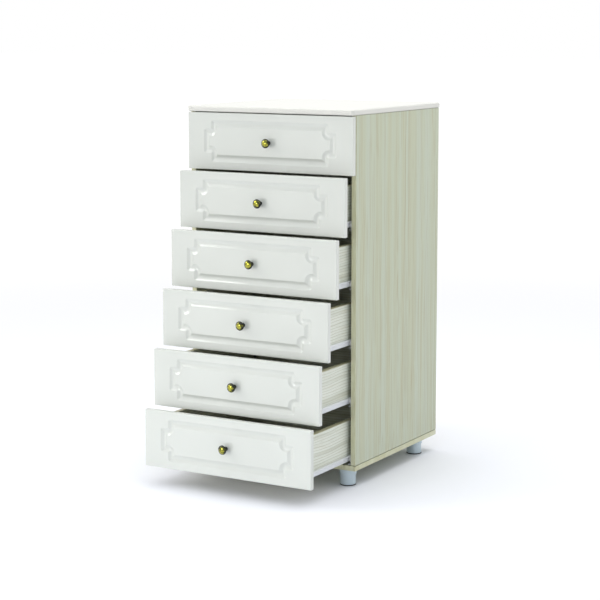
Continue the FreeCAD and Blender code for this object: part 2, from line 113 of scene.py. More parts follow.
class NodeGraph:
    """A node tree that is being filled."""

    def __init__(self, tree: bpy.types.NodeTree) -> None:
        """Keeps the tree that nodes are added to."""
        self.tree = tree

    def add(
        self, kind: str, inputs: dict[Any, Any] | None = None, stops: Stops = (), **settings: Any
    ) -> bpy.types.Node:
        """Adds one node with its settings and links.

        Args:
            kind: the node's type name.
            inputs: for an input's name or number, the value it takes, or the node or output that feeds it. A node
                feeds the first output it has in use, and a list holds several links.
            stops: positions and hex colours, where the node is a colour ramp.
            settings: attributes of the node itself.

        Returns:
            The new node.
        """
        node = self.tree.nodes.new(kind)
        for name, value in settings.items():
            setattr(node, name, value)
        for key, value in (inputs or {}).items():
            for source in value if isinstance(value, list) else [value]:
                if isinstance(source, bpy.types.Node):
                    source = next(out for out in source.outputs if out.enabled)
                if isinstance(source, bpy.types.NodeSocket):
                    self.tree.links.new(source, node.inputs[key])
                else:
                    node.inputs[key].default_value = source
        for i, (position, code) in enumerate(stops):
            elements = node.color_ramp.elements
            element = elements[i] if i < len(elements) else elements.new(position)
            element.position = position
            element.color = linear(code)
        return node


# Finishes


@dataclass(frozen=True)
class Finish:
    """A named surface. Each kind of surface has a pattern that feeds its Principled shader."""

    name: str
    slot: str
    colour: str
    roughness: float

    def material(self) -> bpy.types.Material:
        """Returns the material of this finish, made on its first use."""
        known = bpy.data.materials.get(self.name)
        if known is not None:
            return known
        made = bpy.data.materials.new(self.name)
        made.use_nodes = True
        made.node_tree.nodes.clear()
        graph = NodeGraph(made.node_tree)
        place = graph.add("ShaderNodeTexCoord").outputs["Object"]
        plain = {"Base Color": linear(self.colour), "Roughness": self.roughness}
        shader = graph.add("ShaderNodeBsdfPrincipled", plain | self.pattern(graph, place))
        graph.add("ShaderNodeOutputMaterial", {"Surface": shader})
        return made

    def pattern(self, graph: NodeGraph, place: bpy.types.NodeSocket) -> dict[str, Any]:
        """What feeds the shader's inputs besides the plain colour and roughness.

        Args:
            graph: the material's tree.
            place: where a point lies, in metres.

        Returns:
            A value or node for the name of each input.
        """
        return {}


@dataclass(frozen=True)
class OakPrint(Finish):
    """Melamine-faced chipboard with a bleached-oak print.

    The eye gets a satin board with soft upright bands, fine streaks of a warmer tone and short pressed pores.
    """

    grain: Grain
    pale: str
    warm: str
    shadow: str
    band: float = 11 * MM
    streak: float = 2.6 * MM
    # Printed pores are about 0.3 mm wide, too fine to show, so they are drawn wider.
    pore: float = 1.3 * MM
    warm_share: float = 0.55
    line_share: float = 0.0
    shadow_at: float = 0.72
    length_share: float = 40.0
    pore_length_share: float = 22.0
    line_length_share: float = 9.0
    sway_width: float = 200 * MM
    sway: float = 12 * MM
    pressing: float = 0.15 * MM

    def stretched(self, graph: NodeGraph, place: Any, stretch: float) -> bpy.types.Node:
        """Squeezes the coordinates along the grain, so that what is read there comes out long.

        Args:
            graph: the material's tree.
            place: the coordinates.
            stretch: how many times longer than wide.

        Returns:
            The squeezed coordinates.
        """
        scale = tuple(1.0 / stretch if i == self.grain.value else 1.0 for i in range(3))
        return graph.add("ShaderNodeMapping", {"Vector": place, "Scale": scale})

    def growth_lines(self, graph: NodeGraph, place: bpy.types.Node) -> bpy.types.Node:
        """Thin wavy lines that run with the grain, one about every 9 mm, as a mask.

        Args:
            graph: the material's tree.
            place: the coordinates.

        Returns:
            Nought between the lines, one on them.
        """
        inputs = {
            "Vector": self.stretched(graph, place, self.line_length_share),
            "Scale": 36.0,
            "Distortion": 3.2,
            "Detail": 2.0,
            "Detail Scale": 1.2,
        }
        axis = "Z" if self.grain is not Grain.UPRIGHT else "Y"
        wave = graph.add("ShaderNodeTexWave", inputs, bands_direction=axis, wave_profile="SAW")
        return graph.add("ShaderNodeMapRange", {"Value": wave.outputs["Fac"], "From Min": 0.72, "From Max": 1.0})

    def pattern(self, graph: NodeGraph, place: bpy.types.NodeSocket) -> dict[str, Any]:
        """Bands, streaks, growth lines and pores, one over the other.

        Args:
            graph: the material's tree.
            place: where a point lies, in metres.

        Returns:
            A value or node for the name of each input.
        """
        swing = graph.add("ShaderNodeTexNoise", {"Vector": place, "Scale": 1.0 / self.sway_width, "Detail": 1.0})
        middle = {0: swing.outputs["Color"], 1: (0.5, 0.5, 0.5)}
        centred = graph.add("ShaderNodeVectorMath", middle, operation="SUBTRACT")
        sway = graph.add("ShaderNodeVectorMath", {0: centred, "Scale": self.sway}, operation="SCALE")
        swayed = graph.add("ShaderNodeVectorMath", {0: place, 1: sway}, operation="ADD")
        along = self.stretched(graph, swayed, self.length_share)
        bands = graph.add("ShaderNodeTexNoise", {"Vector": along, "Scale": 1.0 / self.band, "Detail": 1.0})
        streaks = graph.add("ShaderNodeTexNoise", {"Vector": along, "Scale": 1.0 / self.streak, "Detail": 3.0})
        short = self.stretched(graph, place, self.pore_length_share)
        pores = graph.add("ShaderNodeTexNoise", {"Vector": short, "Scale": 1.0 / self.pore, "Detail": 1.0})
        tones = [(0.32, self.pale), (0.52, self.colour), (self.shadow_at, self.shadow)]
        ground = graph.add("ShaderNodeValToRGB", {"Fac": bands}, tones)
        spans = {"From Min": 0.52, "From Max": 0.68, "To Max": self.warm_share}
        warmth = graph.add("ShaderNodeMapRange", {"Value": streaks} | spans)
        toned = graph.add("ShaderNodeMix", {SHARE: warmth, UNDER: ground, OVER: linear(self.warm)}, data_type="RGBA")
        lines = {0: self.growth_lines(graph, swayed), 1: self.line_share}
        share = graph.add("ShaderNodeMath", lines, operation="MULTIPLY")
        lined = graph.add("ShaderNodeMix", {SHARE: share, UNDER: toned, OVER: linear(self.shadow)}, data_type="RGBA")
        ticks = graph.add("ShaderNodeMapRange", {"Value": pores, "From Min": 0.6, "From Max": 0.72, "To Max": 0.3})
        inked = graph.add("ShaderNodeMix", {SHARE: ticks, UNDER: lined, OVER: linear(self.shadow)}, data_type="RGBA")
        spans = {"From Min": 0.3, "From Max": 0.7, "To Min": self.roughness - 0.06, "To Max": self.roughness + 0.08}
        satin = graph.add("ShaderNodeMapRange", {"Value": streaks} | spans)
        pressed = graph.add("ShaderNodeMath", {0: streaks, 1: pores}, operation="SUBTRACT")
        relief = graph.add("ShaderNodeBump", {"Height": pressed, "Distance": self.pressing, "Strength": 0.25})
        return {"Base Color": inked, "Roughness": satin, "Normal": relief}


@dataclass(frozen=True)
class WhiteFilm(Finish):
    """Fibreboard wrapped in a glossy PVC membrane film.

    The eye gets a clear top gloss over a soft white, with the faint orange peel of film on milled board.
    """

    shade: str
    coat: float
    coat_roughness: float
    coat_index: float = 1.5
    drift: float = 180 * MM
    peel: float = 2.6 * MM
    peel_height: float = 0.05 * MM

    def pattern(self, graph: NodeGraph, place: bpy.types.NodeSocket) -> dict[str, Any]:
        """The gloss coat, a slow drift of the white and the peel.

        Args:
            graph: the material's tree.
            place: where a point lies, in metres.

        Returns:
            A value or node for the name of each input.
        """
        drift = graph.add("ShaderNodeTexNoise", {"Vector": place, "Scale": 1.0 / self.drift, "Detail": 1.0})
        peel = graph.add("ShaderNodeTexNoise", {"Vector": place, "Scale": 1.0 / self.peel, "Detail": 1.0})
        return {
            "Base Color": graph.add("ShaderNodeValToRGB", {"Fac": drift}, [(0.35, self.colour), (0.65, self.shade)]),
            "Coat Weight": self.coat,
            "Coat Roughness": self.coat_roughness,
            "Coat IOR": self.coat_index,
            "Normal": graph.add("ShaderNodeBump", {"Height": peel, "Distance": self.peel_height, "Strength": 0.06}),
        }


@dataclass(frozen=True)
class EdgeBand(Finish):
    """ABS edge band in the tone of the board, with a trace of printed grain.

    The eye gets a warmer, smoother line along each edge of a panel.
    """

    shade: str
    streak: float = 5 * MM
    # The texture of extruded band is about 0.3 mm, too fine to show, so it is drawn coarser.
    texture: float = 1.2 * MM
    texture_height: float = 0.05 * MM

    def pattern(self, graph: NodeGraph, place: bpy.types.NodeSocket) -> dict[str, Any]:
        """Long faint streaks and the fine texture of extruded plastic.

        Args:
            graph: the material's tree.
            place: where a point lies, in metres.

        Returns:
            A value or node for the name of each input.
        """
        squeezed = graph.add("ShaderNodeMapping", {"Vector": place, "Scale": (1.0, 0.12, 0.12)})
        streaks = graph.add("ShaderNodeTexNoise", {"Vector": squeezed, "Scale": 1.0 / self.streak, "Detail": 2.0})
        fine = graph.add("ShaderNodeTexNoise", {"Vector": place, "Scale": 1.0 / self.texture, "Detail": 1.0})
        return {
            "Base Color": graph.add("ShaderNodeValToRGB", {"Fac": streaks}, [(0.35, self.colour), (0.68, self.shade)]),
            "Normal": graph.add("ShaderNodeBump", {"Height": fine, "Distance": self.texture_height, "Strength": 0.15}),
        }


@dataclass(frozen=True)
class AntiqueBrass(Finish):
    """Cast brass, darkened and lacquered.

    The eye gets a deep olive-brown metal with bright rubbed places and a sharp window of light, and painted shade that
    darkens the knob below its crown and towards the crown's rim.
    """

    patina: str
    cloud: float = 7 * MM
    grain: float = 1.5 * MM
    grain_height: float = 0.03 * MM
    lacquer_index: float = 1.5

    def pattern(self, graph: NodeGraph, place: bpy.types.NodeSocket) -> dict[str, Any]:
        """Clouds of patina on the brass, deepened by a mask of patina and painted shade, rougher where they lie, under
        the lacquer.

        Args:
            graph: the material's tree.
            place: where a point lies, in metres.

        Returns:
            A value or node for the name of each input.
        """
        # The mesh's mask adds patina and painted shade: darker below the crown and towards the crown's rim.
        patina_and_painted_shade = graph.add("ShaderNodeAttribute", attribute_name="recess").outputs["Fac"]
        fine = graph.add("ShaderNodeTexNoise", {"Vector": place, "Scale": 1.0 / self.cloud, "Detail": 4.0})
        clouds = graph.add("ShaderNodeMath", {0: fine, 1: patina_and_painted_shade}, operation="SUBTRACT")
        spans = {"From Min": 0.35, "From Max": 0.65, "To Min": self.roughness + 0.14, "To Max": self.roughness}
        cast = graph.add("ShaderNodeTexNoise", {"Vector": place, "Scale": 1.0 / self.grain, "Detail": 2.0})
        return {
            "Base Color": graph.add("ShaderNodeValToRGB", {"Fac": clouds}, [(0.30, self.patina), (0.50, self.colour)]),
            "Roughness": graph.add("ShaderNodeMapRange", {"Value": clouds} | spans),
            "Metallic": 1.0,
            "Coat Weight": 1.0,
            "Coat Roughness": 0.06,
            "Coat IOR": self.lacquer_index,
            "Normal": graph.add("ShaderNodeBump", {"Height": cast, "Distance": self.grain_height, "Strength": 0.2}),
        }


@dataclass(frozen=True)
class Moulded(Finish):
    """Moulded plastic, bare or painted.

    The eye gets an even satin with a fine grain; a metallic share gives the silver paint its sparkle.
    """

    shade: str
    metallic: float = 0.0
    # Mould grain is about 0.1 mm, too fine to show, so it is drawn coarser.
    grit: float = 0.9 * MM
    grit_height: float = 0.04 * MM

    def pattern(self, graph: NodeGraph, place: bpy.types.NodeSocket) -> dict[str, Any]:
        """The fine mould grain and a slight change of tone.

        Args:
            graph: the material's tree.
            place: where a point lies, in metres.

        Returns:
            A value or node for the name of each input.
        """
        grain = graph.add("ShaderNodeTexNoise", {"Vector": place, "Scale": 1.0 / self.grit, "Detail": 2.0})
        return {
            "Base Color": graph.add("ShaderNodeValToRGB", {"Fac": grain}, [(0.3, self.shade), (0.7, self.colour)]),
            "Metallic": self.metallic,
            "Normal": graph.add("ShaderNodeBump", {"Height": grain, "Distance": self.grit_height, "Strength": 0.2}),
        }


@dataclass(frozen=True)
class CoatedSteel(Finish):
    """Sheet steel under epoxy powder, or plated with zinc.

    The eye gets a thin hard skin: orange peel on powder, and the faint bloom of zinc on plated steel.
    """

    shade: str
    metallic: float = 0.0
    bloom: float = 1.6 * MM
    bloom_height: float = 0.03 * MM

    def pattern(self, graph: NodeGraph, place: bpy.types.NodeSocket) -> dict[str, Any]:
        """The peel or bloom in colour, gloss and relief.

        Args:
            graph: the material's tree.
            place: where a point lies, in metres.

        Returns:
            A value or node for the name of each input.
        """
        skin = graph.add("ShaderNodeTexNoise", {"Vector": place, "Scale": 1.0 / self.bloom, "Detail": 2.0})
        spans = {"From Min": 0.3, "From Max": 0.7, "To Min": self.roughness, "To Max": self.roughness + 0.1}
        return {
            "Base Color": graph.add("ShaderNodeValToRGB", {"Fac": skin}, [(0.35, self.shade), (0.65, self.colour)]),
            "Roughness": graph.add("ShaderNodeMapRange", {"Value": skin} | spans),
            "Metallic": self.metallic,
            "Normal": graph.add("ShaderNodeBump", {"Height": skin, "Distance": self.bloom_height, "Strength": 0.2}),
        }


@dataclass(frozen=True)
class Hardboard(Finish):
    """Thin fibreboard with a lacquered face.

    The eye gets a dull, slightly flecked sheet with short fibres in every direction.
    """

    shade: str
    fibre: float = 2.2 * MM
    fibre_height: float = 0.08 * MM
    cloud: float = 60 * MM
    cloud_share: float = 0.25

    def pattern(self, graph: NodeGraph, place: bpy.types.NodeSocket) -> dict[str, Any]:
        """Flecks of fibre over slow clouds.

        Args:
            graph: the material's tree.
            place: where a point lies, in metres.

        Returns:
            A value or node for the name of each input.
        """
        fibres = graph.add("ShaderNodeTexNoise", {"Vector": place, "Scale": 1.0 / self.fibre, "Detail": 5.0})
        cloud = graph.add("ShaderNodeTexNoise", {"Vector": place, "Scale": 1.0 / self.cloud, "Detail": 2.0})
        both = graph.add("ShaderNodeMix", {SHARE: self.cloud_share, UNDER: fibres, OVER: cloud}, data_type="RGBA")
        return {
            "Base Color": graph.add("ShaderNodeValToRGB", {"Fac": both}, [(0.38, self.shade), (0.62, self.colour)]),
            "Normal": graph.add("ShaderNodeBump", {"Height": fibres, "Distance": self.fibre_height, "Strength": 0.25}),
        }


@dataclass(frozen=True)
class StudioPaper(Finish):
    """The pale floor of the studio.

    The eye gets a matt sheet near the chest that melts into the white of the room further out.
    """

    near: float = 1.2
    far: float = 5.0
    glow: float = 1.0

    def pattern(self, graph: NodeGraph, place: bpy.types.NodeSocket) -> dict[str, Any]:
        """Paper that fades into even white with distance.

        Args:
            graph: the material's tree.
            place: where a point lies, in metres.

        Returns:
            A value or node for the name of each input.
        """
        length = graph.add("ShaderNodeVectorMath", {0: place}, operation="LENGTH")
        spans = {"Value": length, "From Min": self.near, "From Max": self.far}
        away = graph.add("ShaderNodeMapRange", spans)
        colours = {SHARE: away, UNDER: linear(self.colour), OVER: linear("000000")}
        return {
            "Base Color": graph.add("ShaderNodeMix", colours, data_type="RGBA"),
            "Specular IOR Level": 0.2,
            "Emission Color": linear("FFFFFF"),
            "Emission Strength": graph.add("ShaderNodeMapRange", spans | {"To Max": self.glow}),
        }


OAK_TONES = ("BFC6B3", "A89B74", "BDC0A5")
OAK_FIGURE = {"band": 34 * MM, "streak": 4.5 * MM, "warm_share": 0.6, "length_share": 150.0}
SIDE_OAK = OakPrint(
    "bleached_oak_melamine_upright", "oak_laminate", "BEC4AD", 0.46, Grain.UPRIGHT, *OAK_TONES, **OAK_FIGURE
)
FLAT_OAK = OakPrint(
    "bleached_oak_melamine_flat", "oak_laminate", "BEC4AD", 0.46, Grain.ACROSS, *OAK_TONES, **OAK_FIGURE
)
DRAWER_TONES = ("E0E3D8", "D6D2BE", "AAA890")
DRAWER_FIGURE = {"band": 20 * MM, "streak": 4 * MM, "warm_share": 0.35, "line_share": 0.8, "shadow_at": 1.0}
DRAWER_OAK = OakPrint(
    "wavy_oak_melamine", "drawer_laminate", "DBDFD3", 0.5, Grain.ALONG, *DRAWER_TONES, **DRAWER_FIGURE
)
DRAWER_BACK_OAK = OakPrint(
    "wavy_oak_melamine_across", "drawer_laminate", "DBDFD3", 0.5, Grain.ACROSS, *DRAWER_TONES, **DRAWER_FIGURE
)
OAK_BAND = EdgeBand("abs_edge_band_oak", "oak_laminate", "D2D2B4", 0.4, "C6C4A0")
DRAWER_BAND = EdgeBand("abs_edge_band_drawer", "drawer_laminate", "CBC8A8", 0.45, "BBB692")
FRONT_FILM = WhiteFilm("gloss_pvc_film", "white_front", "D2D5CE", 0.35, "CFD2CB", 1.0, 0.02, 1.75)
SLAB_LAMINATE = WhiteFilm("white_postformed_laminate", "white_top", "DAD9D2", 0.34, "D8D7D0", 0.3, 0.15)
KNOB_BRASS = AntiqueBrass("aged_cast_brass", "antique_brass", "A3A020", 0.14, "1B1F07")
LEG_PAINT = Moulded("silver_painted_abs", "silver_plastic", "C8D6DC", 0.36, "BCCAD2", metallic=0.2)
GLIDE_PLASTIC = Moulded("black_polyethylene", "dark_plastic", "2B2D2C", 0.55, "202221")
WHEEL_NYLON = Moulded("nylon_roller", "white_nylon", "E2E3DF", 0.4, "D8D9D4")
WHITE_STEEL = CoatedSteel("white_epoxy_steel", "white_steel", "E6E8EA", 0.3, "DCDEE0")
ZINC = CoatedSteel("zinc_plated_steel", "zinc_steel", "B9BBBC", 0.28, "A2A5A6", metallic=1.0)
BACK_BOARD = Hardboard("lacquered_hardboard_back", "back_board", "B7B89F", 0.6, "ABAC92")
BASE_BOARD = Hardboard("lacquered_hardboard_base", "base_board", "D2D0BE", 0.6, "C6C4B0")
FLOOR_PAPER = StudioPaper("studio_paper", "floor", "F2F3F8", 0.75)


# Making and placing pieces


def evened(piece: bpy.types.Object) -> bpy.types.Object:
    """Lets the shading of a piece's large faces win over its rounded edges.

    Args:
        piece: an object with a finished mesh.

    Returns:
        The same object.
    """
    evening = piece.modifiers.new("Even normals", "WEIGHTED_NORMAL")
    evening.keep_sharp = True
    return piece


def settled(name: str, shape: bmesh.types.BMesh, finish: Finish, crease: float = BOARD_CREASE) -> bpy.types.Object:
    """Turns a shape into an object with smooth shading and its finish.

    Args:
        name: the object's name.
        shape: the geometry, already in its place; it is freed.
        finish: what the surface is.
        crease: faces that meet at more than this angle, in degrees, keep a hard edge.

    Returns:
        The new object, linked to the scene.
    """
    mesh = bpy.data.meshes.new(name)
    shape.to_mesh(mesh)
    shape.free()
    mesh.shade_smooth()
    mesh.set_sharp_from_angle(angle=math.radians(crease))
    made = bpy.data.objects.new(name, mesh)
    bpy.context.scene.collection.objects.link(made)
    mesh.materials.append(finish.material())
    return evened(made)


def placed(piece: bpy.types.Object, body: str, nodes: Iterable[str] = ()) -> bpy.types.Object:
    """Lets a piece ride on its body and says which CAD nodes it stands for.

    Args:
        piece: the finished object.
        body: the CAD body that carries it.
        nodes: CAD nodes that it replaces.

    Returns:
        The same object.
    """
    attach(piece, body)
    names = list(nodes)
    if names:
        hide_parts(*names)
    log.info("%s rides on %s and stands for %s", piece.name, body, names or "nothing")
    return piece


def block(low: Vector, high: Vector) -> bmesh.types.BMesh:
    """A plain block between two corners, to be eased or rounded.

    Args:
        low: its lower corner.
        high: its upper corner.

    Returns:
        The block.
    """
    shape = bmesh.new()
    matrix = Matrix.Translation((low + high) / 2) @ Matrix.Diagonal((*(high - low), 1.0))
    bmesh.ops.create_cube(shape, size=1.0, matrix=matrix)
    return shape


def rounded(
    shape: bmesh.types.BMesh, edges: Iterable[bmesh.types.BMEdge], radius: float, steps: int
) -> None:
    """Rounds some edges of a shape in place.

    Args:
        shape: what is rounded.
        edges: the edges that are taken off.
        radius: of the rounding.
        steps: faces across it.
    """
    bmesh.ops.bevel(
        shape, geom=list(edges), offset=radius, segments=steps, profile=0.5, affect="EDGES", clamp_overlap=True
    )


def board(low: Vector, high: Vector, easing: float = 0.5 * MM) -> bmesh.types.BMesh:
    """A panel between two corners with eased edges.

    Args:
        low: its lower corner.
        high: its upper corner.
        easing: radius of each edge.

    Returns:
        The panel.
    """
    shape = block(low, high)
    rounded(shape, shape.edges[:], easing, steps=2)
    return shape


def stacked(shapes: Iterable[bmesh.types.BMesh]) -> bmesh.types.BMesh:
    """Joins separate shapes into one and frees them.

    Args:
        shapes: what is joined.

    Returns:
        One shape that holds them all.
    """
    whole = bmesh.new()
    for shape in shapes:
        scratch = bpy.data.meshes.new("scratch")
        shape.to_mesh(scratch)
        shape.free()
        whole.from_mesh(scratch)
        bpy.data.meshes.remove(scratch)
    return whole


def turned(profile: Outline, origin: Vector, axis: Vector, steps: int = 48) -> bmesh.types.BMesh:
    """Turns a profile round an axis, as on a lathe.

    Args:
        profile: (distance along the axis, radius) from one end to the other; a radius of nought is a pole.
        origin: where the axis starts.
        axis: its direction.
        steps: faces round the axis.

    Returns:
        The turned shape, closed at its poles.
    """
    shape = bmesh.new()
    frame = axis.normalized().to_track_quat("Z", "Y")
    rings = []
    for distance, radius in profile:
        count = steps if radius > 0 else 1
        ring = []
        for i in range(count):
            angle = 2 * math.pi * i / steps
            spot = Vector((radius * math.cos(angle), radius * math.sin(angle), distance))
            ring.append(shape.verts.new(origin + frame @ spot))
        rings.append(ring)
    for near, far in zip(rings, rings[1:]):
        for i in range(steps):
            corners = [near[i % len(near)], near[(i + 1) % len(near)], far[(i + 1) % len(far)], far[i % len(far)]]
            shape.faces.new(list(dict.fromkeys(corners)))
    bmesh.ops.recalc_face_normals(shape, faces=shape.faces[:])
    return shape


def arc(centre: tuple[float, float], radius: float, start: float, end: float, steps: int) -> Outline:
    """Points on an arc, both ends included, with angles in degrees.

    Args:
        centre: of the arc.
        radius: of the arc.
        start: the first point's angle.
        end: the last point's angle.
        steps: stretches between points.

    Returns:
        The points.
    """
    angles = [math.radians(start + (end - start) * i / steps) for i in range(steps + 1)]
    return [(centre[0] + radius * math.cos(a), centre[1] + radius * math.sin(a)) for a in angles]


def inside(spot: Vector, loop: Sequence[Vector]) -> bool:
    """Says whether a point in the plane lies within a closed loop.

    Args:
        spot: the point.
        loop: corners of the loop.

    Returns:
        True within it.
    """
    crossings = 0
    for here, there in zip(loop, list(loop[1:]) + [loop[0]]):
        if (here.y > spot.y) != (there.y > spot.y):
            share = (spot.y - here.y) / (there.y - here.y)
            crossings += here.x + (there.x - here.x) * share > spot.x
    return crossings % 2 == 1


def bent_strip(path: Outline, thickness: float, bend: float) -> Outline:
    """The section of folded sheet steel.

    Args:
        path: corners of the middle line.
        thickness: of the sheet.
        bend: radius of the middle line in each fold.

    Returns:
        A closed outline with round folds.
    """
    middle: list[Vector] = [Vector(path[0])]
    for before, corner, after in zip(path, path[1:], path[2:]):
        here = Vector(corner)
        back = (Vector(before) - here).normalized()
        ahead = (Vector(after) - here).normalized()
        centre = here + (back + ahead) * bend
        first = here + back * bend
        last = here + ahead * bend
        for i in range(5):
            spoke = (first - centre).lerp(last - centre, i / 4).normalized() * bend
            middle.append(centre + spoke)
    middle.append(Vector(path[-1]))
    left, right = [], []
    for i, point in enumerate(middle):
        run = middle[min(i + 1, len(middle) - 1)] - middle[max(i - 1, 0)]
        side = Vector((-run.y, run.x)).normalized() * thickness / 2
        left.append(tuple(point + side))
        right.append(tuple(point - side))
    return left + right[::-1]


def drawn_along_y(outline: Outline, start: float, end: float) -> bmesh.types.BMesh:
    """Extrudes a section in X and Z along Y.

    Args:
        outline: the closed section.
        start: where it begins on Y.
        end: where it ends on Y.

    Returns:
        The closed bar.
    """
    shape = bmesh.new()
    near = [shape.verts.new((x, start, z)) for x, z in outline]
    far = [shape.verts.new((x, end, z)) for x, z in outline]
    count = len(outline)
    for i in range(count):
        j = (i + 1) % count
        shape.faces.new((near[i], near[j], far[j], far[i]))
    shape.faces.new(near)
    shape.faces.new(far)
    bmesh.ops.recalc_face_normals(shape, faces=shape.faces[:])
    return shape


def baked(carrier: bpy.types.Object) -> bpy.types.Object:
    """Turns the result of an object's modifiers into a plain mesh on the same object.

    Args:
        carrier: the object.

    Returns:
        The same object, without modifiers.
    """
    graph = bpy.context.evaluated_depsgraph_get()
    mesh = bpy.data.meshes.new_from_object(carrier.evaluated_get(graph))
    carrier.modifiers.clear()
    carrier.data = mesh
    return carrier


def carved(shape: bmesh.types.BMesh, low: Vector, high: Vector) -> bmesh.types.BMesh:
    """Cuts a box-shaped rebate out of a shape.

    Args:
        shape: the blank; it is freed.
        low: lower corner of what is cut away.
        high: upper corner of what is cut away.

    Returns:
        The cut shape.
    """
    pair = []
    for name, part in (("blank", shape), ("cutter", block(low, high))):
        mesh = bpy.data.meshes.new(name)
        part.to_mesh(mesh)
        part.free()
        pair.append(bpy.data.objects.new(name, mesh))
        bpy.context.scene.collection.objects.link(pair[-1])
    blank, cutter = pair
    cut = blank.modifiers.new("Rebate", "BOOLEAN")
    cut.object = cutter
    cut.solver = "EXACT"
    result = bmesh.new()
    result.from_mesh(baked(blank).data)
    for item in pair:
        bpy.data.objects.remove(item, do_unlink=True)
    return result


class NodePattern:
    """A geometry-nodes tree with named inputs for its sizes, run on an object and baked into its mesh."""

    NAME = ""
    SIZES: tuple[str, ...] = ()

    def tree(self) -> bpy.types.NodeTree:
        """Returns the node tree, built on its first use."""
        known = bpy.data.node_groups.get(self.NAME)
        if known is not None:
            return known
        tree = bpy.data.node_groups.new(self.NAME, "GeometryNodeTree")
        tree.interface.new_socket("Geometry", in_out="OUTPUT", socket_type="NodeSocketGeometry")
        kinds = {"Geometry": "Geometry"} | dict.fromkeys(self.SIZES, "Float") | {"Material": "Material"}
        for name, kind in kinds.items():
            tree.interface.new_socket(name, in_out="INPUT", socket_type=f"NodeSocket{kind}")
        graph = NodeGraph(tree)
        given = graph.add("NodeGroupInput").outputs
        solid = graph.add("GeometryNodeRealizeInstances", {0: self.shape(graph, given)})
        dressed = graph.add("GeometryNodeSetMaterial", {"Geometry": solid, "Material": given["Material"]})
        graph.add("NodeGroupOutput", {0: dressed})
        return tree

    def shape(self, graph: NodeGraph, given: Any) -> bpy.types.Node:
        """Makes the pattern's geometry.

        Args:
            graph: the tree being filled.
            given: the tree's inputs, by name.

        Returns:
            The node that holds the geometry, instances and all.
        """
        raise NotImplementedError

    def applied(self, carrier: bpy.types.Object, sizes: Iterable[float], finish: Finish) -> bpy.types.Object:
        """Runs the tree on an object.

        Args:
            carrier: the object whose mesh the pattern starts from.
            sizes: a value for each name in SIZES.
            finish: the surface of what comes out.

        Returns:
            The same object, with the result as its plain mesh.
        """
        modifier = carrier.modifiers.new("Pattern", "NODES")
        modifier.node_group = self.tree()
        values = dict(zip(self.SIZES, sizes)) | {"Material": finish.material()}
        for item in modifier.node_group.interface.items_tree:
            if item.item_type == "SOCKET" and item.in_out == "INPUT" and item.name in values:
                modifier[item.identifier] = values[item.name]
        return baked(carrier)


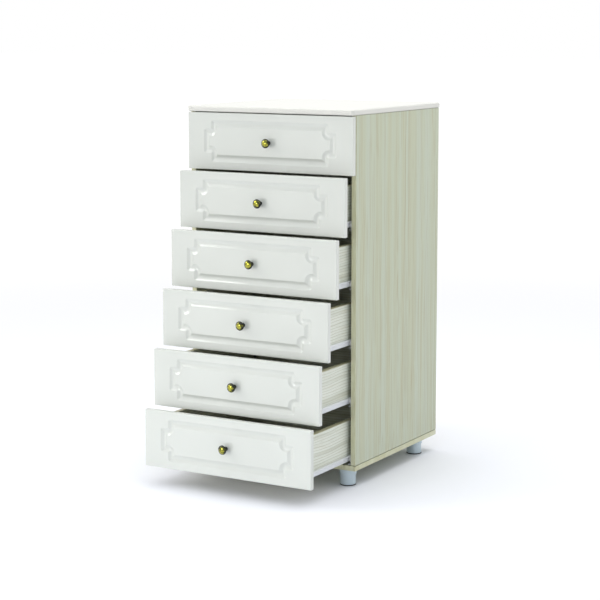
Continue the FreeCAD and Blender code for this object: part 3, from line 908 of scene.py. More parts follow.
class FastenerTree(NodePattern):
    """Sets a screw or nail head on every point of a mesh.

    The points carry a vector named facing, which the heads look along.
    """

    NAME = "fastener_heads"
    SIZES = ("Head Radius", "Crown Height", "Rim Height", "Recess Width", "Recess Depth")
    SIDES = 20
    CROWN_SHARE = 0.62
    WIDEST_TURN = 1.5
    SEED = 7

    def shape(self, graph: NodeGraph, given: Any) -> bpy.types.Node:
        """Builds one head from rim and crown, and instances it on the points.

        Args:
            graph: the tree being filled.
            given: the tree's inputs, by name.

        Returns:
            The node that holds the geometry.
        """
        radius, rim_height = given["Head Radius"], given["Rim Height"]
        rim = graph.add("GeometryNodeMeshCylinder", {"Vertices": self.SIDES, "Radius": radius, "Depth": rim_height})
        rim_lift = self.lifted(graph, rim, rim_height, 0.5)
        top = graph.add("ShaderNodeMath", {0: radius, 1: self.CROWN_SHARE}, operation="MULTIPLY")
        sizes = {"Radius Top": top, "Radius Bottom": radius, "Depth": given["Crown Height"]}
        crown = graph.add("GeometryNodeMeshCone", {"Vertices": self.SIDES} | sizes)
        crown_lift = self.lifted(graph, crown, rim_height, 1.0)
        head = graph.add("GeometryNodeJoinGeometry", {0: [rim_lift, self.recessed(graph, given, crown_lift)]})
        return self.scattered(graph, given["Geometry"], head)

    @staticmethod
    def lifted(
        graph: NodeGraph, mesh: bpy.types.Node, height: bpy.types.NodeSocket, share: float
    ) -> bpy.types.Node:
        """Moves a mesh up its axis by a share of a height.

        Args:
            graph: the tree being filled.
            mesh: what is moved.
            height: the full rise.
            share: how much of it.

        Returns:
            The moved mesh.
        """
        rise = graph.add("ShaderNodeMath", {0: height, 1: share}, operation="MULTIPLY")
        shift = graph.add("ShaderNodeCombineXYZ", {"Z": rise})
        return graph.add("GeometryNodeTransform", {"Geometry": mesh, "Translation": shift})

    @staticmethod
    def recessed(graph: NodeGraph, given: Any, crown: bpy.types.Node) -> bpy.types.Node:
        """Cuts a cross into the crown of the head.

        Args:
            graph: the tree being filled.
            given: the tree's inputs, by name.
            crown: the crown in its place.

        Returns:
            The crown with its recess.
        """
        length, width = given["Head Radius"], given["Recess Width"]
        twice = graph.add("ShaderNodeMath", {0: given["Recess Depth"], 1: 2.0}, operation="MULTIPLY")
        full = graph.add("ShaderNodeMath", {0: given["Rim Height"], 1: given["Crown Height"]}, operation="ADD")
        shift = graph.add("ShaderNodeCombineXYZ", {"Z": full})
        bars = []
        for x, y in ((length, width), (width, length)):
            size = graph.add("ShaderNodeCombineXYZ", {"X": x, "Y": y, "Z": twice})
            bar = graph.add("GeometryNodeMeshCube", {"Size": size})
            bars.append(graph.add("GeometryNodeTransform", {"Geometry": bar, "Translation": shift}))
        return graph.add("GeometryNodeMeshBoolean", {0: crown, 1: bars}, operation="DIFFERENCE")

    def scattered(
        self, graph: NodeGraph, points: bpy.types.NodeSocket, head: bpy.types.Node
    ) -> bpy.types.Node:
        """Sets the head on each point, looking along facing and driven home to a chance angle.

        Args:
            graph: the tree being filled.
            points: where the heads go.
            head: one head on the origin.

        Returns:
            An instance on each point.
        """
        facing = graph.add("GeometryNodeInputNamedAttribute", {"Name": "facing"}, data_type="FLOAT_VECTOR")
        look = graph.add("FunctionNodeAlignRotationToVector", {"Vector": facing}, axis="Z")
        angle = graph.add(
            "FunctionNodeRandomValue", {"Max": self.WIDEST_TURN, "Seed": self.SEED}, data_type="FLOAT"
        )
        spin = graph.add("FunctionNodeAxisAngleToRotation", {"Axis": (0.0, 0.0, 1.0), "Angle": angle})
        both = graph.add(
            "FunctionNodeRotateRotation", {"Rotation": look, "Rotate By": spin}, rotation_space="LOCAL"
        )
        return graph.add("GeometryNodeInstanceOnPoints", {"Points": points, "Instance": head, "Rotation": both})


@dataclass(frozen=True)
class Fastener:
    """The head of one kind of screw or nail."""

    head_radius: float
    crown: float
    rim: float
    recess_width: float
    recess_depth: float
    finish: Finish = ZINC

    def driven(self, name: str, spots: Sequence[tuple[Vector, Vector]]) -> bpy.types.Object:
        """Makes one head at each spot.

        Args:
            name: the object's name.
            spots: where each head sits and the way it faces.

        Returns:
            One plain mesh object with every head.
        """
        points = bpy.data.meshes.new(name)
        points.from_pydata([spot for spot, _ in spots], [], [])
        facing = points.attributes.new("facing", "FLOAT_VECTOR", "POINT")
        facing.data.foreach_set("vector", [c for _, way in spots for c in way])
        carrier = bpy.data.objects.new(name, points)
        bpy.context.scene.collection.objects.link(carrier)
        sizes = (self.head_radius, self.crown, self.rim, self.recess_width, self.recess_depth)
        return FastenerTree().applied(carrier, sizes, self.finish)


PAN_SCREW = Fastener(4.0 * MM, 0.7 * MM, 0.4 * MM, 0.9 * MM, 0.6 * MM)
CONFIRMAT = Fastener(4.8 * MM, 0.3 * MM, 0.2 * MM, 1.8 * MM, 0.25 * MM)
NAIL = Fastener(1.5 * MM, 0.2 * MM, 0.3 * MM, 0.05 * MM, 0.05 * MM)
RUNNER_SCREW = Fastener(3.2 * MM, 0.3 * MM, 0.35 * MM, 0.8 * MM, 0.25 * MM, WHITE_STEEL)
CAM = Fastener(7.4 * MM, 0.15 * MM, 0.25 * MM, 1.6 * MM, 0.12 * MM)


# Drawer front


# The cutter's section is a sine raised to a power, which slopes a little more gently at its edges.
MILLING_STEPS = 18
MILLING_POWER = 1.25


class MillingTree(NodePattern):
    """Sinks the milled band into a flat front.

    Each point carries its inset from the band's outline; a curve turns that into the depth of the cut.
    """

    NAME = "milled_band"
    SIZES = ("Band Width", "Cut Depth")
    PROFILE = tuple(
        (i / MILLING_STEPS, abs(math.sin(math.pi * i / MILLING_STEPS)) ** MILLING_POWER)
        for i in range(MILLING_STEPS + 1)
    )

    def shape(self, graph: NodeGraph, given: Any) -> bpy.types.Node:
        """Reads the inset, looks up the cutter's profile and moves each point by it.

        Args:
            graph: the tree being filled.
            given: the tree's inputs, by name.

        Returns:
            The node that holds the geometry.
        """
        inset = graph.add("GeometryNodeInputNamedAttribute", {"Name": "inset"}, data_type="FLOAT")
        share = graph.add("ShaderNodeMath", {0: inset, 1: given["Band Width"]}, operation="DIVIDE")
        profile = graph.add("ShaderNodeFloatCurve", {"Value": share})
        curve = profile.mapping.curves[0]
        curve.points[0].location = self.PROFILE[0]
        curve.points[1].location = self.PROFILE[-1]
        for x, y in self.PROFILE[1:-1]:
            curve.points.new(x, y)
        for point in curve.points:
            point.handle_type = "VECTOR"
        profile.mapping.update()
        depth = graph.add("ShaderNodeMath", {0: profile, 1: given["Cut Depth"]}, operation="MULTIPLY")
        shift = graph.add("ShaderNodeCombineXYZ", {"Y": depth})
        return graph.add("GeometryNodeSetPosition", {"Geometry": given["Geometry"], "Offset": shift})


@dataclass
class MilledFront:
    """A drawer front: fibreboard with softened edges and a milled band that follows a notched rectangle."""

    low: Vector
    high: Vector
    edge_radius: float = 2.6 * MM
    corner_radius: float = 1.6 * MM
    lobe_inset_x: float = 57.5 * MM
    body_inset_x: float = 85.0 * MM
    body_inset_z: float = 23.0 * MM
    lobe_inset_z: float = 51.0 * MM
    band: float = 25.0 * MM
    depth: float = 5.0 * MM
    outer_corner: float = 8.5 * MM
    least_corner: float = 0.35 * MM
    corner_steps: int = 5
    notch_steps: int = 14

    def outline(self, inset: float) -> Outline:
        """The band's outline at an inset: round outer corners that tighten, and an arc about each notch.

        Args:
            inset: distance from the band's outer edge.

        Returns:
            A closed outline about the middle of the front.
        """
        half_x = (self.high.x - self.low.x) / 2
        half_z = (self.high.z - self.low.z) / 2
        lobe_x = half_x - self.lobe_inset_x - inset
        body_x = half_x - self.body_inset_x
        lobe_z = half_z - self.lobe_inset_z
        body_z = half_z - self.body_inset_z - inset
        corner = max(self.outer_corner - inset, self.least_corner)
        notch = max(inset, self.least_corner)
        slack = notch - inset
        points = arc((lobe_x - corner, lobe_z - inset - corner), corner, 0, 90, self.corner_steps)
        centre = (body_x + slack, lobe_z + slack)
        points += arc(centre, notch, 270, 180, self.notch_steps)
        points += arc((body_x - inset - corner, body_z - corner), corner, 0, 90, self.corner_steps)
        ring = list(points)
        ring += [(-x, z) for x, z in reversed(points)]
        ring += [(-x, -z) for x, z in points]
        ring += [(x, -z) for x, z in reversed(points)]
        return ring

    def flat(self) -> bmesh.types.BMesh:
        """The front before milling, with rings of points along the band that carry their inset."""
        shape = block(self.low, self.high)
        layer = shape.verts.layers.float.new("inset")
        middle = (self.low + self.high) / 2
        upright = [e for e in shape.edges if abs(e.verts[0].co.y - e.verts[1].co.y) > TINY]
        rounded(shape, upright, self.corner_radius, steps=3)
        face_y = self.low.y
        rim = [e for e in shape.edges if all(abs(v.co.y - face_y) < TINY for v in e.verts)]
        rounded(shape, rim, self.edge_radius, steps=5)
        face = min(shape.faces, key=lambda f: (round(f.calc_center_median().y, 5), -f.calc_area()))
        border = list(face.verts)
        bmesh.ops.delete(shape, geom=[face], context="FACES_ONLY")
        rings = []
        for share, _ in MillingTree.PROFILE:
            inset = share * self.band
            ring = []
            for x, z in self.outline(inset):
                vert = shape.verts.new((middle.x + x, face_y, middle.z + z))
                vert[layer] = inset
                ring.append(vert)
            rings.append(ring)
        self.fill_between(shape, border, rings[0])
        count = len(rings[0])
        for near, far in zip(rings, rings[1:]):
            for i in range(count):
                j = (i + 1) % count
                shape.faces.new((near[i], near[j], far[j], far[i]))
        shape.faces.new(rings[-1])
        bmesh.ops.recalc_face_normals(shape, faces=shape.faces[:])
        return shape

    @staticmethod
    def fill_between(
        shape: bmesh.types.BMesh, border: list[bmesh.types.BMVert], ring: list[bmesh.types.BMVert]
    ) -> None:
        """Fills the flat face between its border and the outermost ring with triangles.

        Args:
            shape: the front.
            border: points round the face.
            ring: points along the band's outer edge.
        """
        verts = border + ring
        spots = [Vector((v.co.x, v.co.z)) for v in verts]
        first, last = len(border), len(ring)
        edges = [(i, (i + 1) % first) for i in range(first)]
        edges += [(first + i, first + (i + 1) % last) for i in range(last)]
        filled = delaunay_2d_cdt(spots, edges, [], 1, 1e-7)
        for triangle in filled[2]:
            middle = sum((filled[0][i] for i in triangle), Vector((0, 0))) / 3
            if not inside(middle, spots[first:]):
                shape.faces.new([verts[filled[3][i][0]] for i in triangle])

    def build(self, name: str, finish: Finish) -> bpy.types.Object:
        """Mills the front and returns it.

        Args:
            name: the object's name.
            finish: its surface.

        Returns:
            The front, with its band milled.
        """
        made = settled(name, self.flat(), finish)
        made.modifiers.clear()
        return evened(MillingTree().applied(made, (self.band, self.depth), finish))


@dataclass
class Knob:
    """A turned brass knob: foot, tapering neck and a domed head with a fine ring."""

    length: float = 27.5 * MM
    foot_radius: float = 7.0 * MM
    neck_radius: float = 4.8 * MM
    head_radius: float = 14.5 * MM
    head_at: float = 18.6 * MM
    rim: float = 2.4 * MM
    ring_inset: float = 1.9 * MM
    neck_steps: int = 14
    crown_steps: int = 12
    # Shares of patina and painted shade: below the crown, and at the crown's rim.
    patina_and_painted_shade_below_crown: float = 0.34
    patina_and_painted_shade_at_rim: float = 0.42

    def profile(self) -> Outline:
        """(Distance from the face, radius) from the foot to the crown."""
        points: Outline = [(0.0, 0.0), (0.0, self.foot_radius)]
        points += arc((1.2 * MM, self.foot_radius - 0.8 * MM), 0.8 * MM, 90, 0, 4)
        neck_start, neck_end = 2.2 * MM, self.head_at - 1.6 * MM
        wide = self.foot_radius - 1.4 * MM
        for i in range(self.neck_steps + 1):
            t = i / self.neck_steps
            slim = (1 - t) ** 2.2 * (wide - self.neck_radius)
            flare = t ** 3.2 * (self.head_radius - 3.0 * MM - self.neck_radius)
            points.append((neck_start + (neck_end - neck_start) * t, self.neck_radius + slim + flare))
        edge_at = self.head_at + self.rim
        points += [(self.head_at - 0.7 * MM, self.head_radius - 1.2 * MM)]
        points += [(self.head_at, self.head_radius - 0.35 * MM), (self.head_at + 0.5 * MM, self.head_radius)]
        points += [(edge_at - 0.5 * MM, self.head_radius), (edge_at, self.head_radius - 0.4 * MM)]
        ring = self.head_radius - self.ring_inset
        points += [(edge_at + 0.25 * MM, ring + 0.7 * MM), (edge_at - 0.05 * MM, ring + 0.2 * MM)]
        rise = self.length - edge_at
        for i in range(self.crown_steps):
            angle = math.pi / 2 * i / self.crown_steps
            points.append((edge_at + rise * math.sin(angle), ring * math.cos(angle)))
        return points + [(self.length, 0.0)]

    def build(self, name: str, root: Vector) -> bpy.types.Object:
        """Turns the knob on the face of a front, at a point, and marks where patina and painted shade darken it.

        Args:
            name: the object's name.
            root: where the knob meets the front.

        Returns:
            The knob.
        """
        shape = turned(self.profile(), root, Vector((0, -1, 0)), steps=64)
        layer = shape.verts.layers.float.new("recess")
        crown_start = self.head_at + self.rim
        for vert in shape.verts:
            out = root.y - vert.co.y
            radius = math.hypot(vert.co.x - root.x, vert.co.z - root.z)
            on_crown = out > crown_start and radius < self.head_radius - self.ring_inset
            # Painted shade with the patina: a fixed share off the crown, and on the crown a share that grows towards
            # its rim.
            rim_patina_and_shade = self.patina_and_painted_shade_at_rim * (radius / self.head_radius) ** 4
            vert[layer] = rim_patina_and_shade if on_crown else self.patina_and_painted_shade_below_crown
        return settled(name, shape, KNOB_BRASS, TURNED_CREASE)


@dataclass
class Wheel:
    """A dished nylon wheel of a runner."""

    radius: float = 10.0 * MM
    bore: float = 2.6 * MM
    hub: float = 5.5 * MM
    dish: float = 1.0 * MM

    def shape(self, start: Vector, width: float, way: float) -> bmesh.types.BMesh:
        """Turns the wheel about X, from its outer face inwards.

        Args:
            start: centre of the outer face.
            width: of the wheel.
            way: 1 or -1, inwards along X.

        Returns:
            The wheel.
        """
        edge, lip = 0.6 * MM, 1.5 * MM
        side: Outline = [
            (0.2 * MM, self.bore),
            (0.0, self.bore + 0.3 * MM),
            (0.0, self.hub),
            (self.dish, self.hub + 0.5 * MM),
            (self.dish, self.radius - lip),
            (0.1 * MM, self.radius - lip + 0.4 * MM),
            (0.0, self.radius - edge),
            (0.2 * MM, self.radius - 0.15 * MM),
            (edge, self.radius),
        ]
        far = [(width - distance, radius) for distance, radius in reversed(side)]
        return turned(side + far + [side[0]], start, Vector((way, 0, 0)), steps=40)


@dataclass
class RunnerSection:
    """The folded section of a drawer's runner, from its sole to its running flange."""

    sheet: float = 1.2 * MM
    sole: float = 12.0 * MM
    bend: float = 1.2 * MM

    def outline(self, side: float, box: tuple[Vector, Vector], outer: float, foot: float) -> Outline:
        """The section on one side of the drawer.

        Args:
            side: 1 for the right-hand runner, -1 for the left-hand one.
            box: lowest and highest corner of both runners together.
            outer: distance of the drawer side's outer face from the middle.
            foot: height of the drawer side's lower edge.

        Returns:
            A closed outline in X and Z.
        """
        reach = box[1].x
        half = self.sheet / 2
        web = outer + half
        path = [
            (side * (outer - self.sole), foot - half),
            (side * web, foot - half),
            (side * web, box[1].z - half),
            (side * reach, box[1].z - half),
        ]
        return bent_strip(path, self.sheet, self.bend)


@dataclass
class Drawer:
    """One drawer: milled front, wooden box, runners with wheels, and a knob."""

    number: int
    cleft: float = 0.25 * MM
    band: float = 0.8 * MM
    wheel: Wheel = field(default_factory=Wheel)
    section: RunnerSection = field(default_factory=RunnerSection)
    board_thick: float = 16.0 * MM
    easing: float = 0.3 * MM
    band_easing: float = 0.35 * MM
    rivet_head: float = 4.0 * MM
    rivet_shank: float = 2.5 * MM
    rivet_length: float = 9.6 * MM
    rivet_rise: float = 0.7 * MM
    wheel_room: float = 1.2 * MM
    cam_inset: float = 34.0 * MM
    cam_heights: tuple[float, float] = (45.0 * MM, 100.0 * MM)
    nail_inset: float = 8.0 * MM
    nail_gap: float = 105.0 * MM
    screw_height: float = 8.0 * MM
    screw_places: tuple[float, float, float] = (0.12, 0.5, 0.84)

    def node(self, part: str) -> str:
        """The CAD node of one part of this drawer."""
        return f"drawer_{self.number}_{part}"

    @property
    def body(self) -> str:
        """The CAD body of this drawer."""
        return f"drawer_{self.number}"

    def build(self) -> None:
        """Builds every piece of the drawer."""
        self.front()
        self.sides()
        self.back_and_base()
        self.runners()
        self.wheels()
        self.knob()
        self.fittings()

    def front(self) -> None:
        """The milled front."""
        node = self.node("front")
        made = MilledFront(*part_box(node)).build(self.node("milled_front"), FRONT_FILM)
        placed(made, self.body, [node])

    def sides(self) -> None:
        """Both side boards with the band on their upper edges."""
        node = self.node("sides")
        low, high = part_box(node)
        inner = high.x - self.board_thick
        for side, label in ((1, "right"), (-1, "left")):
            x0, x1 = sorted((side * inner, side * high.x))
            shape = board(Vector((x0, low.y, low.z)), Vector((x1, high.y, high.z - self.band)), self.easing)
            made = settled(self.node(f"side_{label}"), shape, DRAWER_OAK)
            placed(made, self.body, [node])
            foot = high.z - self.band
            strip = board(Vector((x0, low.y, foot)), Vector((x1, high.y, high.z)), self.band_easing)
            trim = settled(self.node(f"side_band_{label}"), strip, DRAWER_BAND)
            placed(trim, self.body)

    def back_and_base(self) -> None:
        """Back board with its band, and the thin base."""
        node = self.node("back")
        low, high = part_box(node)
        gap = Vector((self.cleft, 0, 0))
        shape = board(low + gap, Vector((high.x, high.y, high.z - self.band)) - gap, self.easing)
        placed(settled(self.node("back_board"), shape, DRAWER_BACK_OAK), self.body, [node])
        strip = board(Vector((low.x, low.y, high.z - self.band)) + gap, high - gap, self.band_easing)
        placed(settled(self.node("back_band"), strip, DRAWER_BAND), self.body)
        node = self.node("base")
        shape = board(*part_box(node), self.easing)
        placed(settled(self.node("base_sheet"), shape, BASE_BOARD), self.body, [node])

    def runners(self) -> None:
        """Folded steel runners with the rivets that carry the rear wheels."""
        node = self.node("runners")
        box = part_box(node)
        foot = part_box(self.node("sides"))[0].z
        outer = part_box(self.node("sides"))[1].x
        hub = self.axle()
        head, shank, length = self.rivet_head, self.rivet_shank, self.rivet_length
        profile: Outline = [(0, 0), (0, head - 0.6 * MM), (0.3 * MM, head)]
        profile += [(0.4 * MM, shank), (length, shank), (length, 0)]
        for side, label in ((1, "right"), (-1, "left")):
            outline = self.section.outline(side, box, outer, foot)
            strip = drawn_along_y(outline, box[0].y, box[1].y)
            tip = Vector((side * (self.wheel_span()[1] + self.rivet_rise), hub.y, hub.z))
            rivet = turned(profile, tip, Vector((-side, 0, 0)), steps=24)
            made = settled(self.node(f"runner_{label}"), stacked([strip, rivet]), WHITE_STEEL, TURNED_CREASE)
            placed(made, self.body, [node])

    def axle(self) -> Vector:
        """Centre of the rear wheels' axis."""
        low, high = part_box(self.node("rollers"))
        return (low + high) / 2

    def wheel_span(self) -> tuple[float, float]:
        """Inner and outer distance of a wheel from the middle of the chest."""
        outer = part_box(self.node("rollers"))[1].x
        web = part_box(self.node("sides"))[1].x + self.section.sheet
        return web + self.wheel_room, outer

    def wheels(self) -> None:
        """The rear wheels of the drawer and the front wheels of its cabinet rails."""
        inner, outer = self.wheel_span()
        rear = self.node("rollers")
        front = f"cabinet_rollers_{self.number}"
        for node, body in ((rear, rear + "_body"), (front, front + "_body")):
            low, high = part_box(node)
            middle = (low + high) / 2
            pair = []
            for side in (1, -1):
                start = Vector((side * outer, middle.y, middle.z))
                pair.append(self.wheel.shape(start, outer - inner, -side))
            made = settled(f"{node}_wheels", stacked(pair), WHEEL_NYLON, TURNED_CREASE)
            placed(made, body, [node])

    def knob(self) -> None:
        """The knob and the head of its screw inside the drawer."""
        low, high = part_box(self.node("front"))
        root = Vector((0, low.y, (low.z + high.z) / 2))
        placed(Knob().build(self.node("brass_knob"), root), self.body, [self.node("knob")])
        inside = Vector((0, high.y, root.z))
        screw = PAN_SCREW.driven(self.node("knob_screw"), [(inside, Vector((0, 1, 0)))])
        placed(screw, self.body)

    def fittings(self) -> None:
        """Cam locks in the sides, nails in the base and screws in the runners."""
        low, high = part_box(self.node("sides"))
        inner = high.x - self.board_thick
        spots = []
        for side in (1, -1):
            for y in (low.y + self.cam_inset, high.y - self.cam_inset):
                for height in self.cam_heights:
                    spots.append((Vector((side * inner, y, low.z + height)), Vector((-side, 0, 0))))
        placed(CAM.driven(self.node("cam_locks"), spots), self.body)
        base_low, base_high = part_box(self.node("base"))
        rear = base_high.y - self.nail_inset
        nails = [(Vector((i * self.nail_gap, rear, base_low.z)), Vector((0, 0, -1))) for i in range(-2, 3)]
        placed(NAIL.driven(self.node("base_nails"), nails), self.body)
        web = high.x + self.section.sheet
        screws = []
        for side in (1, -1):
            for share in self.screw_places:
                y = low.y + (high.y - low.y) * share
                screws.append((Vector((side * web, y, low.z + self.screw_height)), Vector((side, 0, 0))))
        placed(RUNNER_SCREW.driven(self.node("runner_screws"), screws), self.body)


# Carcass


@dataclass
class Leg:
    """A short round leg: wide collar over a slimmer barrel, on a dark glide."""

    place: tuple[float, float]
    top: float
    collar_radius: float = 27.0 * MM
    collar_height: float = 18.0 * MM
    barrel_radius: float = 24.5 * MM
    glide_radius: float = 25.0 * MM
    glide_height: float = 3.0 * MM

    def barrel(self) -> bmesh.types.BMesh:
        """Collar and barrel, turned from the glide up to the bottom panel."""
        base = self.glide_height
        shoulder = self.top - self.collar_height
        ease = 1.0 * MM
        profile: Outline = [(base, 0.0), (base, self.barrel_radius - ease), (base + ease, self.barrel_radius)]
        profile += [(shoulder - 0.4 * MM, self.barrel_radius), (shoulder - 0.2 * MM, self.barrel_radius + 0.3 * MM)]
        profile += [(shoulder, self.collar_radius - ease)]
        profile += [(shoulder + 0.3 * MM, self.collar_radius - 0.3 * MM), (shoulder + ease, self.collar_radius)]
        profile += [(self.top - 0.5 * MM, self.collar_radius), (self.top, self.collar_radius - 0.4 * MM)]
        profile += [(self.top, 0.0)]
        return turned(profile, Vector((*self.place, 0.0)), Vector((0, 0, 1)), steps=72)

    def glide(self) -> bmesh.types.BMesh:
        """The dark disc that stands on the floor."""
        radius, height = self.glide_radius, self.glide_height
        profile = [(0.0, 0.0), (0.0, radius - 0.8 * MM), (0.8 * MM, radius), (height, radius), (height, 0.0)]
        return turned(profile, Vector((*self.place, 0.0)), Vector((0, 0, 1)), steps=72)


@dataclass
class Carcass:
    """The still part of the chest: panels, slab, back, legs, rails and their fasteners."""

    band: float = 1.6 * MM
    band_easing: float = 0.7 * MM
    side_easing: float = 0.5 * MM
    bottom_easing: float = 0.4 * MM
    seam: float = 1.8 * MM
    slab_radius: float = 6.0 * MM
    slab_corner: float = 12.0 * MM
    rail_sheet: float = 1.2 * MM
    rail_screws_per_rail: int = 3
    rebate_room: float = 0.2 * MM
    seat_depth: float = 0.4 * MM
    bottom_screw_inset: float = 50.0 * MM
    nail_rows: int = 7
    nail_columns: int = 3

    def build(self) -> None:
        """Builds every piece of the carcass."""
        self.side("right")
        self.side("left")
        self.bottom()
        self.slab()
        self.stand()
        self.fasteners()
        self.kept_nodes()

    def housed(self, shape: bmesh.types.BMesh) -> bmesh.types.BMesh:
        """Cuts the rebate that takes the back panel.

        Args:
            shape: a board of the carcass; it is freed.

        Returns:
            The board with its rebate.
        """
        low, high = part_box("back_panel")
        room = self.rebate_room
        return carved(shape, low - Vector((room, 0, room)), high + Vector((room, 5 * room, room)))

    def side(self, label: str) -> None:
        """A side panel: printed board with a band on its front edge.

        Args:
            label: right or left.
        """
        node = f"side_panel_{label}"
        low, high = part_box(node)
        foot = low.z + self.seam
        core_low = Vector((low.x, low.y + self.band, foot))
        made = settled(f"side_board_{label}", self.housed(board(core_low, high, self.side_easing)), SIDE_OAK)
        placed(made, CARCASS, [node])
        edge = Vector((high.x, low.y + self.band, high.z))
        shape = board(Vector((low.x, low.y, foot)), edge, self.band_easing)
        placed(settled(f"side_band_{label}", shape, OAK_BAND), CARCASS)

    def bottom(self) -> None:
        """The bottom panel with bands on its front and side edges."""
        node = "bottom_panel"
        low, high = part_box(node)
        edge = Vector((self.band, self.band, 0))
        rear = Vector((high.x - self.band, high.y, high.z))
        shape = self.housed(board(low + edge, rear, self.bottom_easing))
        placed(settled("bottom_board", shape, FLAT_OAK), CARCASS, [node])
        back_of_band = low.y + self.band
        strips = [
            (low, Vector((high.x, back_of_band, high.z))),
            (Vector((low.x, back_of_band, low.z)), Vector((low.x + self.band, high.y, high.z))),
            (Vector((high.x - self.band, back_of_band, low.z)), high),
        ]
        bands = stacked(board(*corners, self.band_easing) for corners in strips)
        placed(settled("bottom_bands", bands, OAK_BAND), CARCASS)

    def slab(self) -> None:
        """The white top with rounded front and side edges."""
        node = "top_panel"
        low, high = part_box(node)
        shape = block(low, high)
        corners = [
            e for e in shape.edges
            if abs(e.verts[0].co.z - e.verts[1].co.z) > TINY and e.verts[0].co.y < low.y + TINY
        ]
        rounded(shape, corners, self.slab_corner, steps=8)
        level = [
            e for e in shape.edges
            if abs(e.verts[0].co.z - e.verts[1].co.z) < TINY and min(v.co.y for v in e.verts) < high.y - TINY
        ]
        rounded(shape, level, self.slab_radius, steps=7)
        placed(settled("white_slab", self.housed(shape), SLAB_LAMINATE), CARCASS, [node])

    def stand(self) -> None:
        """The four legs and their glides."""
        low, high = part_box("legs")
        reach = Leg((0, 0), 0).collar_radius
        for x, way_x in ((low.x + reach, "left"), (high.x - reach, "right")):
            for y, way_y in ((low.y + reach, "front"), (high.y - reach, "rear")):
                leg = Leg((x, y), high.z)
                made = settled(f"leg_{way_y}_{way_x}", leg.barrel(), LEG_PAINT, LEG_CREASE)
                placed(made, CARCASS, ["legs"])
                sole = settled(f"glide_{way_y}_{way_x}", leg.glide(), GLIDE_PLASTIC, TURNED_CREASE)
                placed(sole, CARCASS, ["leg_glides"])

    def fasteners(self) -> None:
        """Screw and nail heads, each field made from one pattern."""
        self.rail_screws()
        self.underside_screws()
        self.back_nails()

    def rail_screws(self) -> None:
        """Three screws in each cabinet rail."""
        low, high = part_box("rail_screws")
        reach = PAN_SCREW.head_radius
        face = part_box("side_panel_right")[0].x - self.rail_sheet
        count = self.rail_screws_per_rail
        rows = [low.z + reach + (high.z - low.z - 2 * reach) * i / (DRAWERS - 1) for i in range(DRAWERS)]
        runs = [low.y + reach + (high.y - low.y - 2 * reach) * i / (count - 1) for i in range(count)]
        spots = [
            (Vector((side * face, y, z)), Vector((-side, 0, 0))) for side in (1, -1) for z in rows for y in runs
        ]
        placed(PAN_SCREW.driven("rail_screw_heads", spots), CARCASS, ["rail_screws"])

    def underside_screws(self) -> None:
        """The screws through the bottom panel."""
        low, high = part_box("bottom_panel")
        board_middle = sum(corner.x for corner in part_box("side_panel_right")) / 2
        inset = self.bottom_screw_inset
        runs = [low.y + inset, (low.y + high.y) / 2, high.y - inset]
        foot = low.z + self.seat_depth
        spots = [(Vector((side * board_middle, y, foot)), Vector((0, 0, -1))) for side in (1, -1) for y in runs]
        placed(CONFIRMAT.driven("bottom_screw_heads", spots), CARCASS, ["carcass_fasteners"])

    def back_nails(self) -> None:
        """The nails round the back panel."""
        low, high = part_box("back_panel_nails")
        reach = NAIL.head_radius + 0.1 * MM
        left, right = low.x + reach, high.x - reach
        foot, top = low.z + reach, high.z - reach
        rows, columns = self.nail_rows, self.nail_columns
        spots = []
        for i in range(1, rows):
            z = foot + (top - foot) * i / rows
            spots += [(left, z), (right, z)]
        for i in range(1, columns):
            x = left + (right - left) * i / columns
            spots += [(x, foot), (x, top)]
        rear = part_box("back_panel")[1].y - 0.5 * MM
        aimed = [(Vector((x, rear, z)), Vector((0, 1, 0))) for x, z in spots]
        placed(NAIL.driven("back_nail_heads", aimed), CARCASS, ["back_panel_nails"])

    def kept_nodes(self) -> None:
        """Dresses the CAD nodes whose shape stays."""
        kept = {"back_panel": BACK_BOARD, "cabinet_rails_left": WHITE_STEEL, "cabinet_rails_right": WHITE_STEEL}
        for name, finish in kept.items():
            materials = frame["nodes"][name].data.materials
            materials.clear()
            materials.append(finish.material())
            log.info("%s keeps its shape and is dressed as %s", name, finish.name)


# Studio


@dataclass(frozen=True)
class Softbox:
    """A square soft light: where it hangs, what it looks at, its side, its watts and its beam in degrees."""

    name: str
    place: tuple[float, float, float]
    aim: tuple[float, float, float]
    size: float
    power: float
    tint: tuple[float, float, float]
    spread: float = 180.0

    def hang(self) -> None:
        """Adds the light to the scene, out of the camera's sight."""
        data = bpy.data.lights.new(self.name, "AREA")
        data.size = self.size
        data.energy = self.power
        data.color = self.tint
        data.spread = math.radians(self.spread)
        made = bpy.data.objects.new(self.name, data)
        made.location = self.place
        made.rotation_euler = (Vector(self.aim) - Vector(self.place)).to_track_quat("-Z", "Y").to_euler()
        made.visible_camera = False
        bpy.context.scene.collection.objects.link(made)


SOFTBOXES = (
    Softbox("key_softbox", (-4.0, -3.0, 3.2), (0, 0, 0.6), 2.2, 65.0, (1.0, 0.99, 0.96)),
    Softbox("overhead_softbox", (0.3, 0.3, 4.2), (0.1, 0.0, 0.0), 3.6, 100.0, (0.98, 0.99, 1.0)),
    Softbox("low_softbox", (-0.9, -3.6, 1.0), (-0.05, -0.55, 0.1), 1.0, 2.4, (1.0, 0.99, 0.97), 50.0),
)


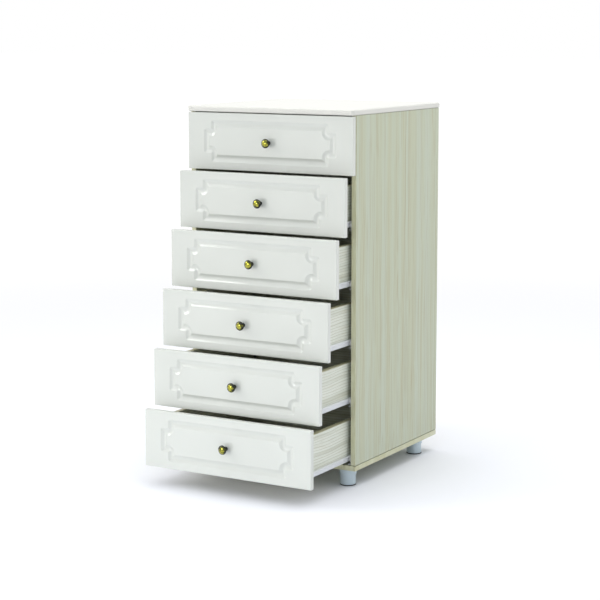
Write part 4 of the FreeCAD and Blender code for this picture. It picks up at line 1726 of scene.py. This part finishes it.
@dataclass
class Studio:
    """Pale floor, soft light and the camera."""

    camera_place: tuple[float, float, float] = (2.7804, -4.8605, 1.4312)
    camera_turn: float = 30.227
    camera_dip: float = 7.147
    lens: float = 103.61
    shift: float = -0.1
    floor_reach: float = 60.0
    sky_bright: tuple[float, float, float, float] = (1.0, 1.0, 1.0, 1.0)
    sky_dim: tuple[float, float, float, float] = (0.60, 0.66, 0.72, 1.0)
    sky_horizon: tuple[float, float, float, float] = (1.22, 1.22, 1.22, 1.0)
    sky_strength: float = 0.82
    sky_front: tuple[float, float, float] = (0.48, -0.84, 0.26)
    front_span: tuple[float, float] = (0.15, 0.95)
    horizon_span: tuple[float, float] = (0.03, 0.16)

    def build(self) -> None:
        """Sets the stage."""
        self.floor()
        self.sky()
        for lamp in SOFTBOXES:
            lamp.hang()
        self.camera()

    def floor(self) -> None:
        """A large pale floor under the chest."""
        mesh = bpy.data.meshes.new("studio_floor")
        reach = self.floor_reach
        corners = [(-reach, -reach, 0), (reach, -reach, 0), (reach, reach, 0), (-reach, reach, 0)]
        mesh.from_pydata(corners, [], [(0, 1, 2, 3)])
        mesh.materials.append(FLOOR_PAPER.material())
        made = bpy.data.objects.new("studio_floor", mesh)
        bpy.context.scene.collection.objects.link(made)

    def sky(self) -> None:
        """White light from all round, brightest at the horizon, dimmer and cooler before the fronts."""
        world = bpy.data.worlds.new("studio_sky")
        world.use_nodes = True
        world.node_tree.nodes.clear()
        graph = NodeGraph(world.node_tree)
        way = graph.add("ShaderNodeTexCoord").outputs["Generated"]
        facing = {0: way, 1: Vector(self.sky_front).normalized()}
        towards = graph.add("ShaderNodeVectorMath", facing, operation="DOT_PRODUCT")
        near, full = self.front_span
        dimmed = graph.add("ShaderNodeMapRange", {"Value": towards, "From Min": near, "From Max": full})
        colours = {SHARE: dimmed, UNDER: self.sky_bright, OVER: self.sky_dim}
        round_about = graph.add("ShaderNodeMix", colours, data_type="RGBA")
        up = graph.add("ShaderNodeSeparateXYZ", {"Vector": way}).outputs["Z"]
        height = graph.add("ShaderNodeMath", {0: up}, operation="ABSOLUTE")
        near, full = self.horizon_span
        spans = {"From Min": near, "From Max": full, "To Min": 1.0, "To Max": 0.0}
        level = graph.add("ShaderNodeMapRange", {"Value": height} | spans)
        colours = {SHARE: level, UNDER: round_about, OVER: self.sky_horizon}
        glow = graph.add("ShaderNodeMix", colours, data_type="RGBA")
        back = graph.add("ShaderNodeBackground", {"Color": glow, "Strength": self.sky_strength})
        graph.add("ShaderNodeOutputWorld", {"Surface": back})
        bpy.context.scene.world = world

    def camera(self) -> None:
        """A long lens from the right and a little above."""
        data = bpy.data.cameras.new("studio_camera")
        data.sensor_width = 36.0
        data.lens = self.lens
        data.shift_y = self.shift
        data.clip_end = 200.0
        made = bpy.data.objects.new("studio_camera", data)
        made.location = self.camera_place
        made.rotation_euler = (math.radians(90 - self.camera_dip), 0.0, math.radians(self.camera_turn))
        bpy.context.scene.collection.objects.link(made)
        bpy.context.scene.camera = made
        bpy.context.scene.view_settings.view_transform = "Standard"


def main() -> None:
    """Builds the chest, then the studio around it."""
    logging.basicConfig(level=logging.INFO, format="%(name)s: %(message)s")
    Carcass().build()
    for number in range(1, DRAWERS + 1):
        Drawer(number).build()
    Studio().build()


if __name__ == "__main__":
    main()
